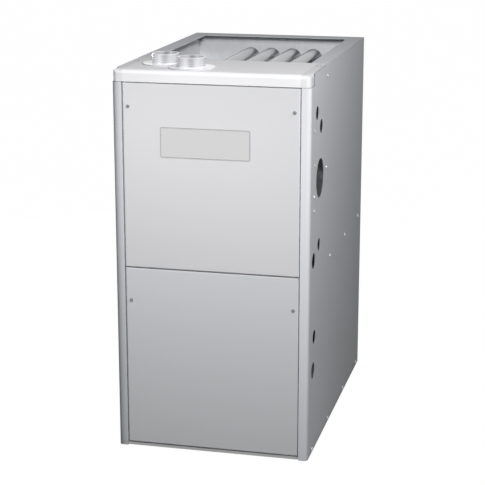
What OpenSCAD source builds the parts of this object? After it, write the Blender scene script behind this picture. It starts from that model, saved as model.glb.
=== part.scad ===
// Forced air gas furnace: an upflow condensing cabinet with two lift-off doors.
// Millimetres. The origin is the middle of the footprint, +Z is up and the doors face -Y.
// Depths named *_y are measured back from the front face of the posts.

/* [Casing] */
// Overall width of the cabinet
cabinet_w = 444.5; // [430:0.5:540]
// Overall depth of the cabinet
cabinet_d = 711.2; // [690:0.1:760]
// Overall height of the cabinet, without the pipe stubs
cabinet_h = 876.3; // [870:0.1:940]
// Thickness of the casing sheet
sheet_t = 1.2; // [0.8:0.1:1.6]
// Outer radius of the bent front corners
corner_r = 9; // [5:0.5:12]
// Width of each front post beside the doors
post_w = 21.2; // [18:0.2:26]
// Depth of the lip folded back behind each post
post_lip = 14; // [8:1:18]
// Width of the flange along each side of the supply opening
side_flange = 38; // [25:1:42]
// Width of the flange behind the supply opening
rear_flange = 50; // [30:1:56]
// Width of the flanges folded in under the casing
foot_flange = 25; // [15:1:35]
// Height of the rail under the lower door
rail_h = 8; // [5:0.5:12]
// Gap between two sheets that lie side by side
fit_gap = 0.3; // [0.1:0.1:0.4]

/* [Casing holes] */
// Gas pipe entry: depth, distance under the top, diameter
hole_gas = [73, 92.3, 31]; // [20:0.1:300]
// Upper wiring entry: depth, distance under the top, diameter
hole_wires = [122, 129.3, 32]; // [20:0.1:300]
// Side vent outlet: depth, distance under the top, diameter
hole_vent = [113, 244.3, 88]; // [20:0.1:300]
// Condensate drain exit: depth, height over the blower deck, diameter
hole_drain = [109, 51.8, 29]; // [20:0.1:300]
// Spare exit: depth, height over the blower deck, diameter
hole_spare = [48, 28.8, 36]; // [20:0.1:300]
// Thermostat wire entry: depth, height, diameter
hole_low_volt = [66, 275, 32]; // [20:0.1:300]
// Line voltage entry: depth, height, diameter
hole_line = [56, 198, 38]; // [20:0.1:300]

/* [Top cap] */
// Height of the cap's front
cap_h = 27; // [20:0.5:36]
// Depth of the cap, back to the supply opening
cap_d = 195; // [190:1:205]
// Radius of the cap's top front edge
cap_r = 9; // [5:0.5:14]
// Radius of the cap's top corners, seen from the front
cap_corner_r = 8; // [3:0.5:14]
// Length of the cap's flaps round the front corners
cap_flap = 40; // [24:1:46]
// How far each side of the cap stands back from the posts
cap_inset = 1.6; // [0.5:0.1:2]
// Height of the lip folded down along the supply opening
cap_lip = 12; // [8:1:16]
// Seam between the cap and the posts
cap_seam = 0.9; // [0.5:0.1:1.5]

/* [Doors] */
// How far the line where the doors meet lies under the cabinet's middle
split_drop = 8.95; // [4:0.05:14]
// Gap between a door and the posts
door_gap = 2; // [1:0.1:2.5]
// Seam over and under each door
door_seam = 1.6; // [1:0.1:2.4]
// Depth of the doors' folded edges
door_d = 20; // [14:1:22]
// Sheet thickness of the doors
door_t = 1; // [0.7:0.1:1.6]
// Radius of the doors' folded edges
door_r = 3; // [2:0.5:5]
// Width of the blank plate on the upper door
plate_w = 201; // [120:1:260]
// Height of the blank plate
plate_h = 66; // [40:1:90]
// Thickness of the blank plate
plate_t = 0.5; // [0.3:0.1:1]
// Distance of the blank plate's middle under the upper door's top
plate_drop = 129.4; // [80:0.1:250]
// How far the plate's middle lies to the left of the door's
plate_left = 12; // [0:0.5:40]
// Distance of the upper door's screws under its top
upper_screw_drop = 52.7; // [20:0.1:140]
// Distance of the lower door's screws under its top
lower_screw_drop = 75.4; // [20:0.1:140]
// Distance of the door screws from the door's side edges
door_screw_in = 12.5; // [9:0.5:20]
// Radius of a door screw's head
door_screw_r = 4.2; // [3:0.1:6]
// Height of a door screw's head
door_screw_h = 2.2; // [1:0.1:3]
// Thickness of the sound liner inside the lower door
liner_door_t = 10; // [5:1:14]

/* [Vent and intake stubs] */
// Outer radius of the two pipe stubs, for 2 inch pipe
stub_r = 30.15; // [28:0.05:32]
// Wall of the stubs and of the pipe inside
pipe_wall = 3.9; // [2.5:0.1:5]
// Height of the stubs over the cap
stub_h = 24.5; // [18:0.5:40]
// Length of the stubs under the cap
stub_tail = 22; // [16:1:30]
// How much thinner the stubs are under the cap
tail_step = 0.8; // [0.4:0.1:1.5]
// Radius of the stubs' flanges
stub_flange_r = 51.5; // [47:0.5:55]
// Thickness of the stubs' flanges
stub_flange_t = 2.5; // [2:0.1:4]
// Number of grip grooves round each stub
groove_count = 4; // [2:1:5]
// Depth of the grip grooves
groove_deep = 0.6; // [0.3:0.1:1]
// Vent stub to the left of the middle
vent_left = 130; // [124:1:140]
// Depth of the vent stub
vent_y = 108; // [100:1:114]
// Intake stub to the left of the middle
intake_left = 56; // [46:1:62]
// Depth of the intake stub
intake_y = 58; // [56:1:64]

/* [Heat exchanger] */
// Outer radius of the tubes
tube_r = 22.25; // [18:0.25:23]
// Wall of the tubes
tube_wall = 1.2; // [0.8:0.1:2]
// Distance between the tubes
tube_pitch = 53.7; // [50:0.1:56]
// Distance of the tube bank's middle to the right of the cabinet's
tubes_right = 31; // [20:1:36]
// Distance of the top tubes' crests under the top of the cabinet
crest_drop = 19.3; // [12:0.1:24]
// Radius of the tubes' bends, at their middle
bend_r = 40; // [36:1:42]
// Distance of the middle of the rear bends from the back
rear_bend_in = 121.2; // [118:0.1:150]
// Depth of the middle of the front bends
front_bend_y = 275; // [268:1:300]
// Thickness of the foil-faced liner round the tubes
liner_t = 10; // [6:1:14]
// Thickness of a coil fin
fin_t = 0.8; // [0.5:0.1:1.2]
// Distance between the coil's fins
fin_pitch = 12; // [8:1:20]
// Outer radius of the coil's tubes
coil_tube_r = 6.35; // [5:0.05:7]
// Wall of the coil's tubes
coil_tube_wall = 0.8; // [0.5:0.1:1.5]
// Height of the secondary coil
coil_h = 80; // [70:1:84]

/* [Burner compartment] */
// Height of the burner box
burner_box_h = 66; // [58:1:68]
// Depth of the burner box
burner_box_d = 92; // [86:1:94]
// Radius of a burner's flame head
burner_head_r = 16; // [12:0.5:18]
// Outer radius of the gas manifold
manifold_r = 9.5; // [7:0.5:10]
// Width of the gas valve's body
valve_w = 66; // [56:1:70]
// Depth of the gas valve's body
valve_d = 44; // [36:1:46]
// Height of the gas valve's body
valve_h = 52; // [46:1:54]
// Inner radius of the gas valve's inlet, for half inch pipe
gas_inlet_r = 10.4; // [9:0.1:11]
// Depth of the gas valve's inlet
gas_inlet_l = 14; // [10:0.5:18]
// Radius of the gas valve's knob
knob_r = 13; // [10:0.5:16]
// Radius of the inducer's housing
inducer_r = 84; // [78:1:88]
// Thickness of the inducer's housing
inducer_d = 44; // [38:1:46]
// How far the middle of the inducer lies under the coil's
inducer_drop = 4.5; // [-4:0.5:10]
// Radius of the inducer's wheel
inducer_wheel_r = 62; // [50:1:66]
// Radius of the inducer's motor
inducer_motor_r = 38; // [30:1:44]
// Length of the inducer's motor
inducer_motor_l = 52; // [40:1:54]
// Travel of the rollout switches' reset buttons
reset_travel = 2; // [1:0.5:3]

/* [Blower] */
// Radius of the blower wheel
wheel_r = 127; // [110:1:130]
// Width of the blower wheel
wheel_w = 203; // [150:1:206]
// Number of blades round the blower wheel
blade_count = 36; // [24:1:44]
// Thickness of a blade
blade_t = 1; // [0.7:0.1:1.5]
// Length of a blade from its inner to its outer edge
blade_chord = 19; // [14:1:22]
// Width of the scroll housing
scroll_w = 240; // [230:1:250]
// Growth of the scroll at each quarter turn
scroll_grow = 24; // [18:1:26]
// Gap between the wheel and the scroll at the cut-off
cutoff_gap = 10; // [8:1:16]
// Depth of the blower's shaft
blower_y = 372; // [360:1:390]
// Height of the blower's shaft
blower_z = 209; // [206:1:216]
// Radius of the blower motor
motor_r = 70; // [60:1:74]
// Length of the blower motor
motor_l = 118; // [90:1:124]
// Radius of the blower's shaft
shaft_r = 6.35; // [5:0.05:8]
// Radial clearance of a shaft in its bearing
run_gap = 0.05; // [0.02:0.01:0.1]
// Width of the control board
board_w = 170; // [140:1:180]
// Height of the control board
board_h = 112; // [90:1:116]
// Travel of the door switch's plunger
plunger_travel = 6; // [3:0.5:7]

/* [Fasteners] */
// Radius of a casing screw's washer face
screw_r = 5; // [4:0.1:6]
// Height of a casing screw's head
screw_h = 2.4; // [1.5:0.1:4]

/* [Hidden] */
$fn = 48;

painted = [0.82, 0.83, 0.84];
cap_paint = [0.94, 0.94, 0.95];
galvanised = [0.66, 0.68, 0.7];
aluminised = [0.7, 0.7, 0.71];
white_plastic = [0.95, 0.95, 0.95];
dark_plastic = [0.16, 0.16, 0.17];
brass = [0.78, 0.62, 0.3];

side_x = cabinet_w / 2;
front = -cabinet_d / 2;
back = cabinet_d / 2;
inner_x = side_x - sheet_t;
inner_back = back - sheet_t;
cap_z = cabinet_h - cap_h;
shelf_z = cabinet_h - sheet_t;

split_z = cabinet_h / 2 - split_drop;
door_w = cabinet_w - 2 * post_w - 2 * door_gap;
lower_door_z = [rail_h + door_seam, split_z - door_seam / 2];
upper_door_z = [split_z + door_seam / 2, cap_z - door_seam];
lip_back = front + post_lip;
ledge_in = 8;
ledge_t = door_seam - 2 * fit_gap;
ledge_top = upper_door_z[0] - fit_gap;
ledge_half = door_w / 2 - 20;

deck_top = split_z - 1;
deck_flange = 20;
deck_front = front + door_d + 2;
panel_back = front + cap_d - sheet_t;
panel_front = panel_back - sheet_t;
hx_front = front + cap_d;
liner_back = inner_back - liner_t;

tube_z = cabinet_h - crest_drop - tube_r;
tube_xs = [for (i = [0 : 3]) tubes_right + (i - 1.5) * tube_pitch];
pass_z = [tube_z, tube_z - 2 * bend_r, tube_z - 4 * bend_r];
bank_half = 1.5 * tube_pitch + tube_r;

rear_bend = back - rear_bend_in;
collector_front = rear_bend + 10;
collector_back = (collector_front + liner_back) / 2;
coil_z = pass_z[2] - tube_r - 16 - coil_h / 2;
coil_half = bank_half + 6;
coil_front = panel_back + 14;
coil_fin_front = coil_front + 6;
fin_count = floor((collector_front - coil_fin_front - 8) / fin_pitch);

vent_at = [-vent_left, front + vent_y];
intake_at = [-intake_left, front + intake_y];
stub_bore_r = stub_r - pipe_wall;
tail_r = stub_r - tail_step;

header_front = front + vent_y + inducer_d / 2;
header_x = [-vent_left - 34, tubes_right + coil_half + 4];
header_z = [coil_z - coil_h / 2 - 12, coil_z + coil_h / 2 + 12];

inducer_x = -vent_left + inducer_r - stub_r - 2;
inducer_z = coil_z - inducer_drop;
inducer_front = header_front - inducer_d;
inducer_outlet_z = inducer_z + inducer_r + 26;

box_half = bank_half + 4;
box_front = panel_front - burner_box_d;
box_z = [tube_z - burner_box_h / 2 - 2, tube_z + burner_box_h / 2 - 2];
manifold_y = box_front - 18;
manifold_x = [tubes_right - box_half - 10, tubes_right + box_half + 10];
valve_x = tube_xs[3] + 16;
valve_z = tube_z - manifold_r - 16 - valve_h;
valve_front = box_front - sheet_t - 1 - valve_d;

blower_at = [front + blower_y, blower_z];
scroll_r1 = wheel_r + cutoff_gap + scroll_grow / 2;
scroll_r2 = scroll_r1 + scroll_grow;
scroll_r3 = scroll_r2 + scroll_grow;
scroll_c = scroll_grow / 2;
cut_y = -60;
scroll_back = scroll_c + scroll_r3;
scroll_top = deck_top - sheet_t - blower_z - fit_gap;
inlet_r = wheel_r - 31;
bell = 12;
hub_w = 24;
motor_x = hub_w / 2 + 14;

bracket_front = front + 96;
board_z = deck_top - deck_flange - 14 - board_h;
switch_x = 150;

// A box between two opposite corners.
module slab(low, high) translate(low) cube(high - low);

// Draws a profile in the YZ plane through the length of the X axis, centred.
module along_x(length) rotate([90, 0, 90]) linear_extrude(length, center = true) children();

// Draws a profile in the XZ plane back along +Y.
module along_y(length) translate([0, length, 0]) rotate([90, 0, 0]) linear_extrude(length) children();

// A pipe standing on its lower end.
module pipe(outer, wall, length)
  linear_extrude(length) difference() { circle(outer); circle(outer - wall); }

// A rectangle with rounded corners, centred on the origin.
module rounded_rect(size, r)
  union() {
    square([size[0] - 2 * r, size[1]], center = true);
    square([size[0], size[1] - 2 * r], center = true);
    for (sx = [-1, 1], sy = [-1, 1])
      translate([sx * (size[0] / 2 - r), sy * (size[1] / 2 - r)]) circle(r);
  }

// Plan of the cabinet with bent front corners, drawn inside its outline by inset.
module cabinet_plan(half, radius, inset, rear)
  union() {
    translate([-half + inset, front + radius]) square([2 * (half - inset), rear - front - radius]);
    translate([-half + radius, front + inset]) square([2 * (half - radius), radius]);
    for (s = [-1, 1]) translate([s * (half - radius), front + radius]) circle(radius - inset);
  }

// A hole through the right wall at a height, with its depth first and its diameter last.
module wall_hole(hole, z)
  translate([side_x - 4 * sheet_t, front + hole[0], z])
    rotate([0, 90, 0]) cylinder(d = hole[2], h = 6 * sheet_t);

// Wraparound sheet with posts, flanges and the entries in its right wall.
module casing() color(painted) difference() {
  union() {
    linear_extrude(cabinet_h) difference() {
      cabinet_plan(side_x, corner_r, 0, back);
      cabinet_plan(side_x, corner_r, sheet_t, inner_back);
      translate([-side_x + post_w, front - 1]) square([2 * (side_x - post_w), sheet_t + 2]);
    }
    for (s = [-1, 1]) {
      translate([s * (side_x - post_w) - (s < 0 ? sheet_t : 0), front, 0])
        cube([sheet_t, post_lip, cap_z]);
      translate([s < 0 ? -inner_x - 0.01 : side_x - foot_flange, lip_back, 0])
        cube([foot_flange - sheet_t + 0.01, inner_back - lip_back + 0.01, sheet_t]);
      translate([s < 0 ? -inner_x - 0.01 : side_x - side_flange, hx_front, shelf_z])
        cube([side_flange - sheet_t + 0.01, inner_back - hx_front + 0.01, sheet_t]);
      translate([s < 0 ? -inner_x - 0.01 : side_x - side_flange, front + cap_flap, shelf_z - sheet_t])
        cube([side_flange - sheet_t + 0.01, panel_front - front - cap_flap, sheet_t]);
    }
    slab([-inner_x, back - foot_flange, 0], [inner_x, inner_back + 0.01, sheet_t]);
    slab([-inner_x, back - rear_flange, shelf_z], [inner_x, inner_back + 0.01, cabinet_h]);
  }
  slab([-side_x - 1, front - 1, cap_z - cap_seam], [side_x + 1, front + cap_flap, cabinet_h + 1]);
  slab([-side_x - 1, front - 1, shelf_z], [side_x + 1, hx_front, cabinet_h + 1]);
  for (hole = [hole_gas, hole_wires, hole_vent]) wall_hole(hole, cabinet_h - hole[1]);
  for (hole = [hole_drain, hole_spare]) wall_hole(hole, deck_top + hole[1]);
  for (hole = [hole_low_volt, hole_line]) wall_hole(hole, hole[1]);
}

// Floor plate with upturned sides and the rail under the lower door.
module base_pan() color(painted) {
  edge = inner_x - fit_gap;
  rear = inner_back - fit_gap;
  slab([-edge, lip_back + fit_gap, sheet_t], [edge, rear, 2 * sheet_t]);
  for (s = [-1, 1])
    translate([s < 0 ? -edge : edge - sheet_t, lip_back + fit_gap, sheet_t])
      cube([sheet_t, rear - lip_back - fit_gap, 20]);
  slab([-edge, rear - sheet_t, sheet_t], [edge, rear, 20]);
  rail = side_x - post_w - sheet_t - fit_gap;
  slab([-rail, front + 2, sheet_t], [rail, lip_back + fit_gap + 0.01, 2 * sheet_t]);
  slab([-rail, front + 2, sheet_t], [rail, front + 2 + sheet_t, rail_h]);
  ledge = lower_door_z[0] - fit_gap;
  slab([-ledge_half, front + ledge_in, sheet_t], [ledge_half, front + ledge_in + sheet_t, ledge]);
  slab([-ledge_half, front + ledge_in, ledge - sheet_t], [ledge_half, front + door_d, ledge]);
}

// Shelf that carries the blower, with its outlet and folded edges.
module blower_deck() color(galvanised) {
  edge = inner_x - fit_gap;
  rear = inner_back - fit_gap;
  low = deck_top - deck_flange;
  difference() {
    slab([-edge, deck_front, deck_top - sheet_t], [edge, rear, deck_top]);
    slab([-scroll_w / 2 + 3, blower_at[0] + cut_y + 3, deck_top - 2 * sheet_t],
         [scroll_w / 2 - 3, blower_at[0] + scroll_back - 3, deck_top + 1]);
    for (x = [-190, 120]) translate([x, front + 60, deck_top - 2]) cylinder(r = 11, h = 4);
  }
  for (s = [-1, 1])
    translate([s < 0 ? -edge : edge - sheet_t, deck_front, low])
      cube([sheet_t, rear - deck_front, deck_flange]);
  slab([-edge, deck_front, low], [edge, deck_front + sheet_t, ledge_top]);
  slab([-ledge_half, front + ledge_in, ledge_top - ledge_t], [ledge_half, deck_front + 0.01, ledge_top]);
  slab([-edge, rear - sheet_t, low], [edge, rear, deck_top]);
}

// Wall between the burner compartment and the tubes, with a hole for each tube.
module vestibule_panel() color(galvanised) {
  edge = inner_x - fit_gap;
  difference() {
    slab([-edge, panel_front, deck_top + fit_gap], [edge, panel_back, shelf_z - sheet_t - fit_gap]);
    for (x = tube_xs)
      translate([x, panel_front - 1, tube_z]) rotate([-90, 0, 0])
        cylinder(r = tube_r - tube_wall, h = sheet_t + 2);
    slab([header_x[0] + 60, panel_front - 1, header_z[0] + 14],
         [header_x[1] - 12, panel_back + 1, header_z[1] - 14]);
  }
  for (s = [-1, 1])
    translate([s < 0 ? -edge : edge - sheet_t, panel_front - 14, deck_top + fit_gap])
      cube([sheet_t, 14, shelf_z - 2 * sheet_t - 2 * fit_gap - deck_top]);
  slab([-edge, panel_front - 16, deck_top + fit_gap], [edge, panel_front, deck_top + fit_gap + sheet_t]);
}

// Front view of the cap with its rounded top corners.
module cap_face(half, inset, down) union() {
  translate([-half + inset, cap_z - down])
    square([2 * (half - inset), cap_h + down - cap_corner_r]);
  translate([-half + cap_corner_r, cap_z - down])
    square([2 * (half - cap_corner_r), cap_h + down - inset]);
  for (s = [-1, 1])
    translate([s * (half - cap_corner_r), cabinet_h - cap_corner_r]) circle(cap_corner_r - inset);
}

// The cap's block, drawn inside its surface by inset and reaching down below it.
module cap_block(inset, down) {
  half = side_x - cap_inset;
  intersection() {
    translate([0, 0, cap_z - down]) linear_extrude(cap_h + down - inset)
      cabinet_plan(half, corner_r + 1, inset, hx_front - inset);
    along_x(cabinet_w) union() {
      translate([front + cap_r, cap_z - down - 1]) square([cap_d - cap_r, cap_h + down + 1 - inset]);
      translate([front + inset, cap_z - down - 1]) square([cap_r, cap_h + down + 1 - cap_r]);
      translate([front + cap_r, cabinet_h - cap_r]) circle(cap_r - inset);
    }
    union() {
      translate([0, front - 1, 0]) along_y(cap_flap + 1 - fit_gap) cap_face(half, inset, down);
      slab([-half, front + cap_flap - fit_gap, cap_z - down], [half, hx_front, cabinet_h]);
    }
  }
}

// Folded front panel over the doors, with holes for the two stubs.
module top_cap() color(cap_paint) difference() {
  cap_block(0, 0);
  cap_block(sheet_t, 2);
  for (s = [-1, 1])
    translate([s < 0 ? -side_x - 1 : side_x - corner_r + 1, front + cap_flap - fit_gap, cap_z - 1])
      cube([corner_r, cap_d, cap_h + 1 - sheet_t]);
  slab([-side_x, hx_front - 2 * sheet_t, cap_z - 1], [side_x, hx_front + 1, cabinet_h - cap_lip]);
  for (at = [vent_at, intake_at])
    translate([at[0], at[1], cabinet_h - 2 * sheet_t]) cylinder(r = stub_r + fit_gap, h = 4 * sheet_t);
}

// A door's block with rounded front edges, drawn inside its surface by inset.
module door_block(zs, inset, deep) {
  half = door_w / 2 - inset;
  r = door_r - inset;
  tall = zs[1] - zs[0] - 2 * inset;
  intersection() {
    translate([0, 0, zs[0] + inset]) linear_extrude(tall) union() {
      translate([-half, front + door_r]) square([2 * half, deep - door_r]);
      translate([-half + r, front + inset]) square([2 * (half - r), door_r]);
      for (s = [-1, 1]) translate([s * (half - r), front + door_r]) circle(r, $fn = 32);
    }
    along_x(cabinet_w) union() {
      translate([front + door_r, zs[0] + inset]) square([deep - door_r, tall]);
      translate([front + inset, zs[0] + door_r]) square([door_r, zs[1] - zs[0] - 2 * door_r]);
      for (z = [zs[0] + door_r, zs[1] - door_r]) translate([front + door_r, z]) circle(r, $fn = 32);
    }
  }
}

// A pressed door pan that is open at the back.
module door_pan(zs) difference() {
  door_block(zs, 0, door_d);
  door_block(zs, door_t, door_d + 5);
}

// Door of the burner compartment.
module upper_door() color(painted) door_pan(upper_door_z);

// Door of the blower compartment.
module lower_door() color(painted) door_pan(lower_door_z);

// Bare plate on the upper door.
module blank_plate() color([0.78, 0.79, 0.8])
  translate([-plate_left, front - plate_t, upper_door_z[1] - plate_drop])
    along_y(plate_t) rounded_rect([plate_w, plate_h], 3);

// Two cross-slotted door screws at one height.
module door_screws(z) color(galvanised)
  for (s = [-1, 1])
    translate([s * (door_w / 2 - door_screw_in), front, z]) rotate([90, 0, 0]) difference() {
      cylinder(r1 = door_screw_r, r2 = door_screw_r * 0.75, h = door_screw_h);
      for (a = [0, 90]) rotate(a)
        translate([-door_screw_r / 2, -0.5, door_screw_h / 2]) cube([door_screw_r, 1, door_screw_h]);
    }

// Screws of the upper door.
module upper_door_screws() door_screws(upper_door_z[1] - upper_screw_drop);

// Screws of the lower door.
module lower_door_screws() door_screws(lower_door_z[1] - lower_screw_drop);

// Sound liner glued inside the lower door.
module lower_door_liner() color([0.32, 0.33, 0.35]) {
  edge = door_w / 2 - door_t - 2;
  slab([-edge, front + door_t, lower_door_z[0] + door_t + 2],
       [edge, front + door_t + liner_door_t, lower_door_z[1] - door_t - 2]);
}

// A hex washer head screw seen from outside the right wall.
module side_screw() {
  cylinder(r = screw_r, h = screw_h * 0.35);
  cylinder(r = screw_r * 0.72, h = screw_h, $fn = 6);
}

// Screws of the deck, the base pan and the vestibule panel, on both sides.
module casing_screws() color([0.86, 0.86, 0.87]) {
  deck_z = deck_top - deck_flange / 2;
  places = concat(
    [for (y = [cap_d + 54, cabinet_d * 0.637, cabinet_d * 0.926]) [y, deck_z]],
    [for (y = [50, cabinet_d * 0.3515, cabinet_d * 0.6552, cabinet_d - 40]) [y, 11]],
    [for (drop = [26, 234.3]) [cap_d - 9, cabinet_h - drop]],
    [for (drop = [126.8, 203.3, 272.3, 304.3]) [42, cabinet_h - drop]]);
  for (s = [-1, 1], p = places)
    translate([s * side_x, front + p[0], p[1]]) rotate([0, s * 90, 0]) side_screw();
}

// Pairs of small screws that hold the cap to the side flanges.
module cap_screws() color([0.6, 0.61, 0.62])
  for (s = [-1, 1], x = [side_x - 16, side_x - 7])
    translate([s * x, front + 146, cabinet_h]) cylinder(r1 = 2.4, r2 = 1.7, h = 1.1);

// Foil-faced boards on the three walls round the tubes.
module foil_liner() color([0.76, 0.77, 0.79]) {
  edge = inner_x - fit_gap;
  low = deck_top + fit_gap;
  high = shelf_z - fit_gap;
  for (s = [-1, 1])
    translate([s < 0 ? -edge : edge - liner_t, hx_front + fit_gap, low])
      cube([liner_t, liner_back - hx_front - 2 * fit_gap, high - low]);
  slab([-edge, liner_back, low], [edge, inner_back - fit_gap, high]);
}

// A flanged pipe stub with grip grooves; its flange is cut where it meets the other one.
module pipe_stub(at, other) color(white_plastic) difference() {
  gap = norm(other - at) / 2;
  turn = atan2(other[1] - at[1], other[0] - at[0]);
  translate([at[0], at[1], cabinet_h]) difference() {
    union() {
      cylinder(r = stub_flange_r, h = stub_flange_t);
      cylinder(r = stub_r, h = stub_h);
      translate([0, 0, -stub_tail]) cylinder(r = tail_r, h = stub_tail);
    }
    translate([0, 0, -stub_tail - 1]) cylinder(r = stub_bore_r, h = stub_tail + stub_h + 2);
    for (i = [1 : groove_count])
      translate([0, 0, stub_flange_t + i * (stub_h - stub_flange_t) / (groove_count + 1)])
        difference() {
          cylinder(r = stub_r + 1, h = 1.2);
          translate([0, 0, -1]) cylinder(r = stub_r - groove_deep, h = 4);
        }
    rotate(turn) translate([gap - fit_gap / 2, -stub_flange_r, -1])
      cube([stub_flange_r, 2 * stub_flange_r, stub_flange_t + 2]);
  }
}

// Stub that the flue gas leaves by.
module vent_stub() pipe_stub(vent_at, intake_at);

// Stub that the combustion air comes in by.
module intake_stub() pipe_stub(intake_at, vent_at);

// Pipe from the inducer up to the vent stub.
module vent_pipe() color(white_plastic)
  translate([vent_at[0], vent_at[1], inducer_outlet_z])
    pipe(tail_r, tail_r - stub_bore_r, cabinet_h - stub_tail - inducer_outlet_z);

// A rubber sleeve with two band clamps.
module sleeve(length) {
  sleeve_r = tail_r + fit_gap + 3;
  pipe(sleeve_r, 3, length);
  for (z = [6, length - 6 - 9]) translate([0, 0, z]) pipe(sleeve_r + 1.2, 1.2, 9);
}

// Sleeves over both ends of the vent pipe.
module vent_couplings() color(dark_plastic)
  for (z = [inducer_outlet_z - 16, cabinet_h - stub_tail - 24])
    translate([vent_at[0], vent_at[1], z]) sleeve(40);

// Half a turn of tube in the YZ plane, open towards +Y.
module half_bend() rotate([90, 0, 90]) rotate(90) rotate_extrude(angle = 180)
  translate([bend_r, 0]) difference() { circle(tube_r); circle(tube_r - tube_wall); }

// A straight run of tube from one depth to another.
module run(y0, y1, z) translate([0, y0, z]) rotate([-90, 0, 0]) pipe(tube_r, tube_wall, y1 - y0);

// One serpentine tube of three passes.
module heat_tube(i) color(aluminised) translate([tube_xs[i], 0, 0]) {
  run(panel_back, rear_bend, pass_z[0]);
  translate([0, rear_bend, (pass_z[0] + pass_z[1]) / 2]) mirror([0, 1, 0]) half_bend();
  run(front + front_bend_y, rear_bend, pass_z[1]);
  translate([0, front + front_bend_y, (pass_z[1] + pass_z[2]) / 2]) half_bend();
  run(front + front_bend_y, collector_front, pass_z[2]);
}

// Box that turns the gas from the tubes down into the coil.
module collector_box() color(aluminised) {
  half = bank_half + 10;
  low = coil_z - coil_h / 2 - 10;
  high = pass_z[2] + tube_r + 12;
  difference() {
    union() {
      slab([tubes_right - half, collector_front, low], [tubes_right + half, collector_back, high]);
      slab([tubes_right - half - 8, collector_front, low - 8],
           [tubes_right + half + 8, collector_front + 2, high + 8]);
    }
    slab([tubes_right - half + 2, collector_front + 2, low + 2],
         [tubes_right + half - 2, collector_back - 2, high - 2]);
    for (x = tube_xs)
      translate([x, collector_front - 1, pass_z[2]]) rotate([-90, 0, 0])
        cylinder(r = tube_r - tube_wall, h = 4);
  }
}

coil_rows = [-1.5, -0.5, 0.5, 1.5];
coil_cols = 8;
coil_gap = 2 * (coil_half - 12) / (coil_cols - 1);

// Calls its children at the place of each coil tube.
module at_coil_tubes()
  for (row = coil_rows, c = [0 : coil_cols - 1])
    translate([tubes_right - coil_half + 12 + c * coil_gap, coil_z + row * coil_h / 4]) children();

// Straight tubes of the secondary coil.
module coil_tubes() color([0.62, 0.64, 0.66])
  translate([0, coil_front, 0]) along_y(collector_front - coil_front)
    at_coil_tubes() difference() {
      circle(coil_tube_r, $fn = 24);
      circle(coil_tube_r - coil_tube_wall, $fn = 24);
    }

// Fins that the coil's tubes go through.
module coil_fins() color([0.8, 0.81, 0.82])
  for (i = [0 : fin_count])
    translate([0, coil_fin_front + i * fin_pitch, 0]) along_y(fin_t) difference() {
      translate([tubes_right, coil_z]) square([2 * coil_half, coil_h], center = true);
      at_coil_tubes() circle(coil_tube_r + 0.15, $fn = 24);
    }

// Moulded box that gathers the gas from the coil and carries the inducer.
module coil_header() color(dark_plastic) {
  slab([header_x[0], header_front, header_z[0]], [header_x[1], panel_front, header_z[1]]);
  slab([tubes_right - coil_half - 2, panel_front - 0.01, header_z[0] + 15],
       [header_x[1] - 13, coil_front, header_z[1] - 15]);
  for (x = [header_x[0] + 190 : 26 : header_x[1] - 8])
    slab([x, header_front - 3, header_z[0] + 6], [x + 2.5, header_front + 1, header_z[1] - 6]);
}

// Open-fronted box round the burners.
module burner_box() color(galvanised) {
  left = tubes_right - box_half;
  right = tubes_right + box_half;
  difference() {
    slab([left, box_front, box_z[0]], [right, panel_front, box_z[1]]);
    slab([left + sheet_t, box_front - 1, box_z[0] + sheet_t],
         [right - sheet_t, panel_front - sheet_t, box_z[1] - sheet_t]);
    for (x = tube_xs)
      translate([x, panel_front - 5, tube_z]) rotate([-90, 0, 0])
        cylinder(r = tube_r - tube_wall, h = 10);
  }
  difference() {
    slab([left - 12, box_front - sheet_t, box_z[0] - 8], [right + 12, box_front, box_z[1]]);
    slab([left + 6, box_front - 3, box_z[0] + 6], [right - 6, box_front + 1, box_z[1] - 6]);
  }
  slab([left, panel_front - sheet_t, box_z[0] - 14], [right, panel_front, box_z[0] + 1]);
}

// In-shot burners: a flared mouth, a throat and a flame head each.
module burners() color(aluminised)
  for (x = tube_xs)
    translate([x, box_front + 6, tube_z]) {
      rotate([-90, 0, 0]) rotate_extrude() polygon([
        [9, 0], [14, 0], [14, 3], [10, 18], [10, 44], [burner_head_r, 58],
        [burner_head_r, burner_box_d - 20], [burner_head_r - 2, burner_box_d - 20],
        [burner_head_r - 2, 60], [8, 45], [8, 16], [9, 6]]);
      translate([-3, 24, box_z[0] + sheet_t - tube_z])
        cube([6, 16, tube_z - box_z[0] - sheet_t - 9]);
    }

// Pipe along the burners with a boss for each orifice and a drop to the valve.
module gas_manifold() color([0.3, 0.3, 0.31]) {
  along = manifold_x[1] - manifold_x[0];
  translate([manifold_x[0], manifold_y, tube_z]) rotate([0, 90, 0])
    cylinder(r = manifold_r, h = along);
  translate([manifold_x[0] - 5, manifold_y, tube_z]) rotate([0, 90, 0])
    cylinder(r = manifold_r * 0.85, h = 6, $fn = 6);
  for (x = tube_xs)
    translate([x, manifold_y, tube_z]) rotate([-90, 0, 0]) cylinder(r = 7, h = manifold_r + 3);
  translate([valve_x, manifold_y, valve_z + valve_h])
    cylinder(r = manifold_r * 0.9, h = tube_z - valve_z - valve_h);
  foot = box_front - sheet_t - 0.3;
  for (s = [-1, 1]) translate([tubes_right + s * (box_half + 4), 0, tube_z]) {
    slab([-5, foot - sheet_t, -manifold_r - 8], [5, foot, 8]);
    slab([-5, manifold_y, -3], [5, foot, 3]);
  }
}

// Brass spuds that screw into the manifold's bosses.
module gas_orifices() color(brass)
  for (x = tube_xs)
    translate([x, manifold_y + manifold_r + 3, tube_z]) rotate([-90, 0, 0]) {
      cylinder(r = 6, h = 3.5, $fn = 6);
      cylinder(r = 3.5, h = 9.5);
    }

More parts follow.
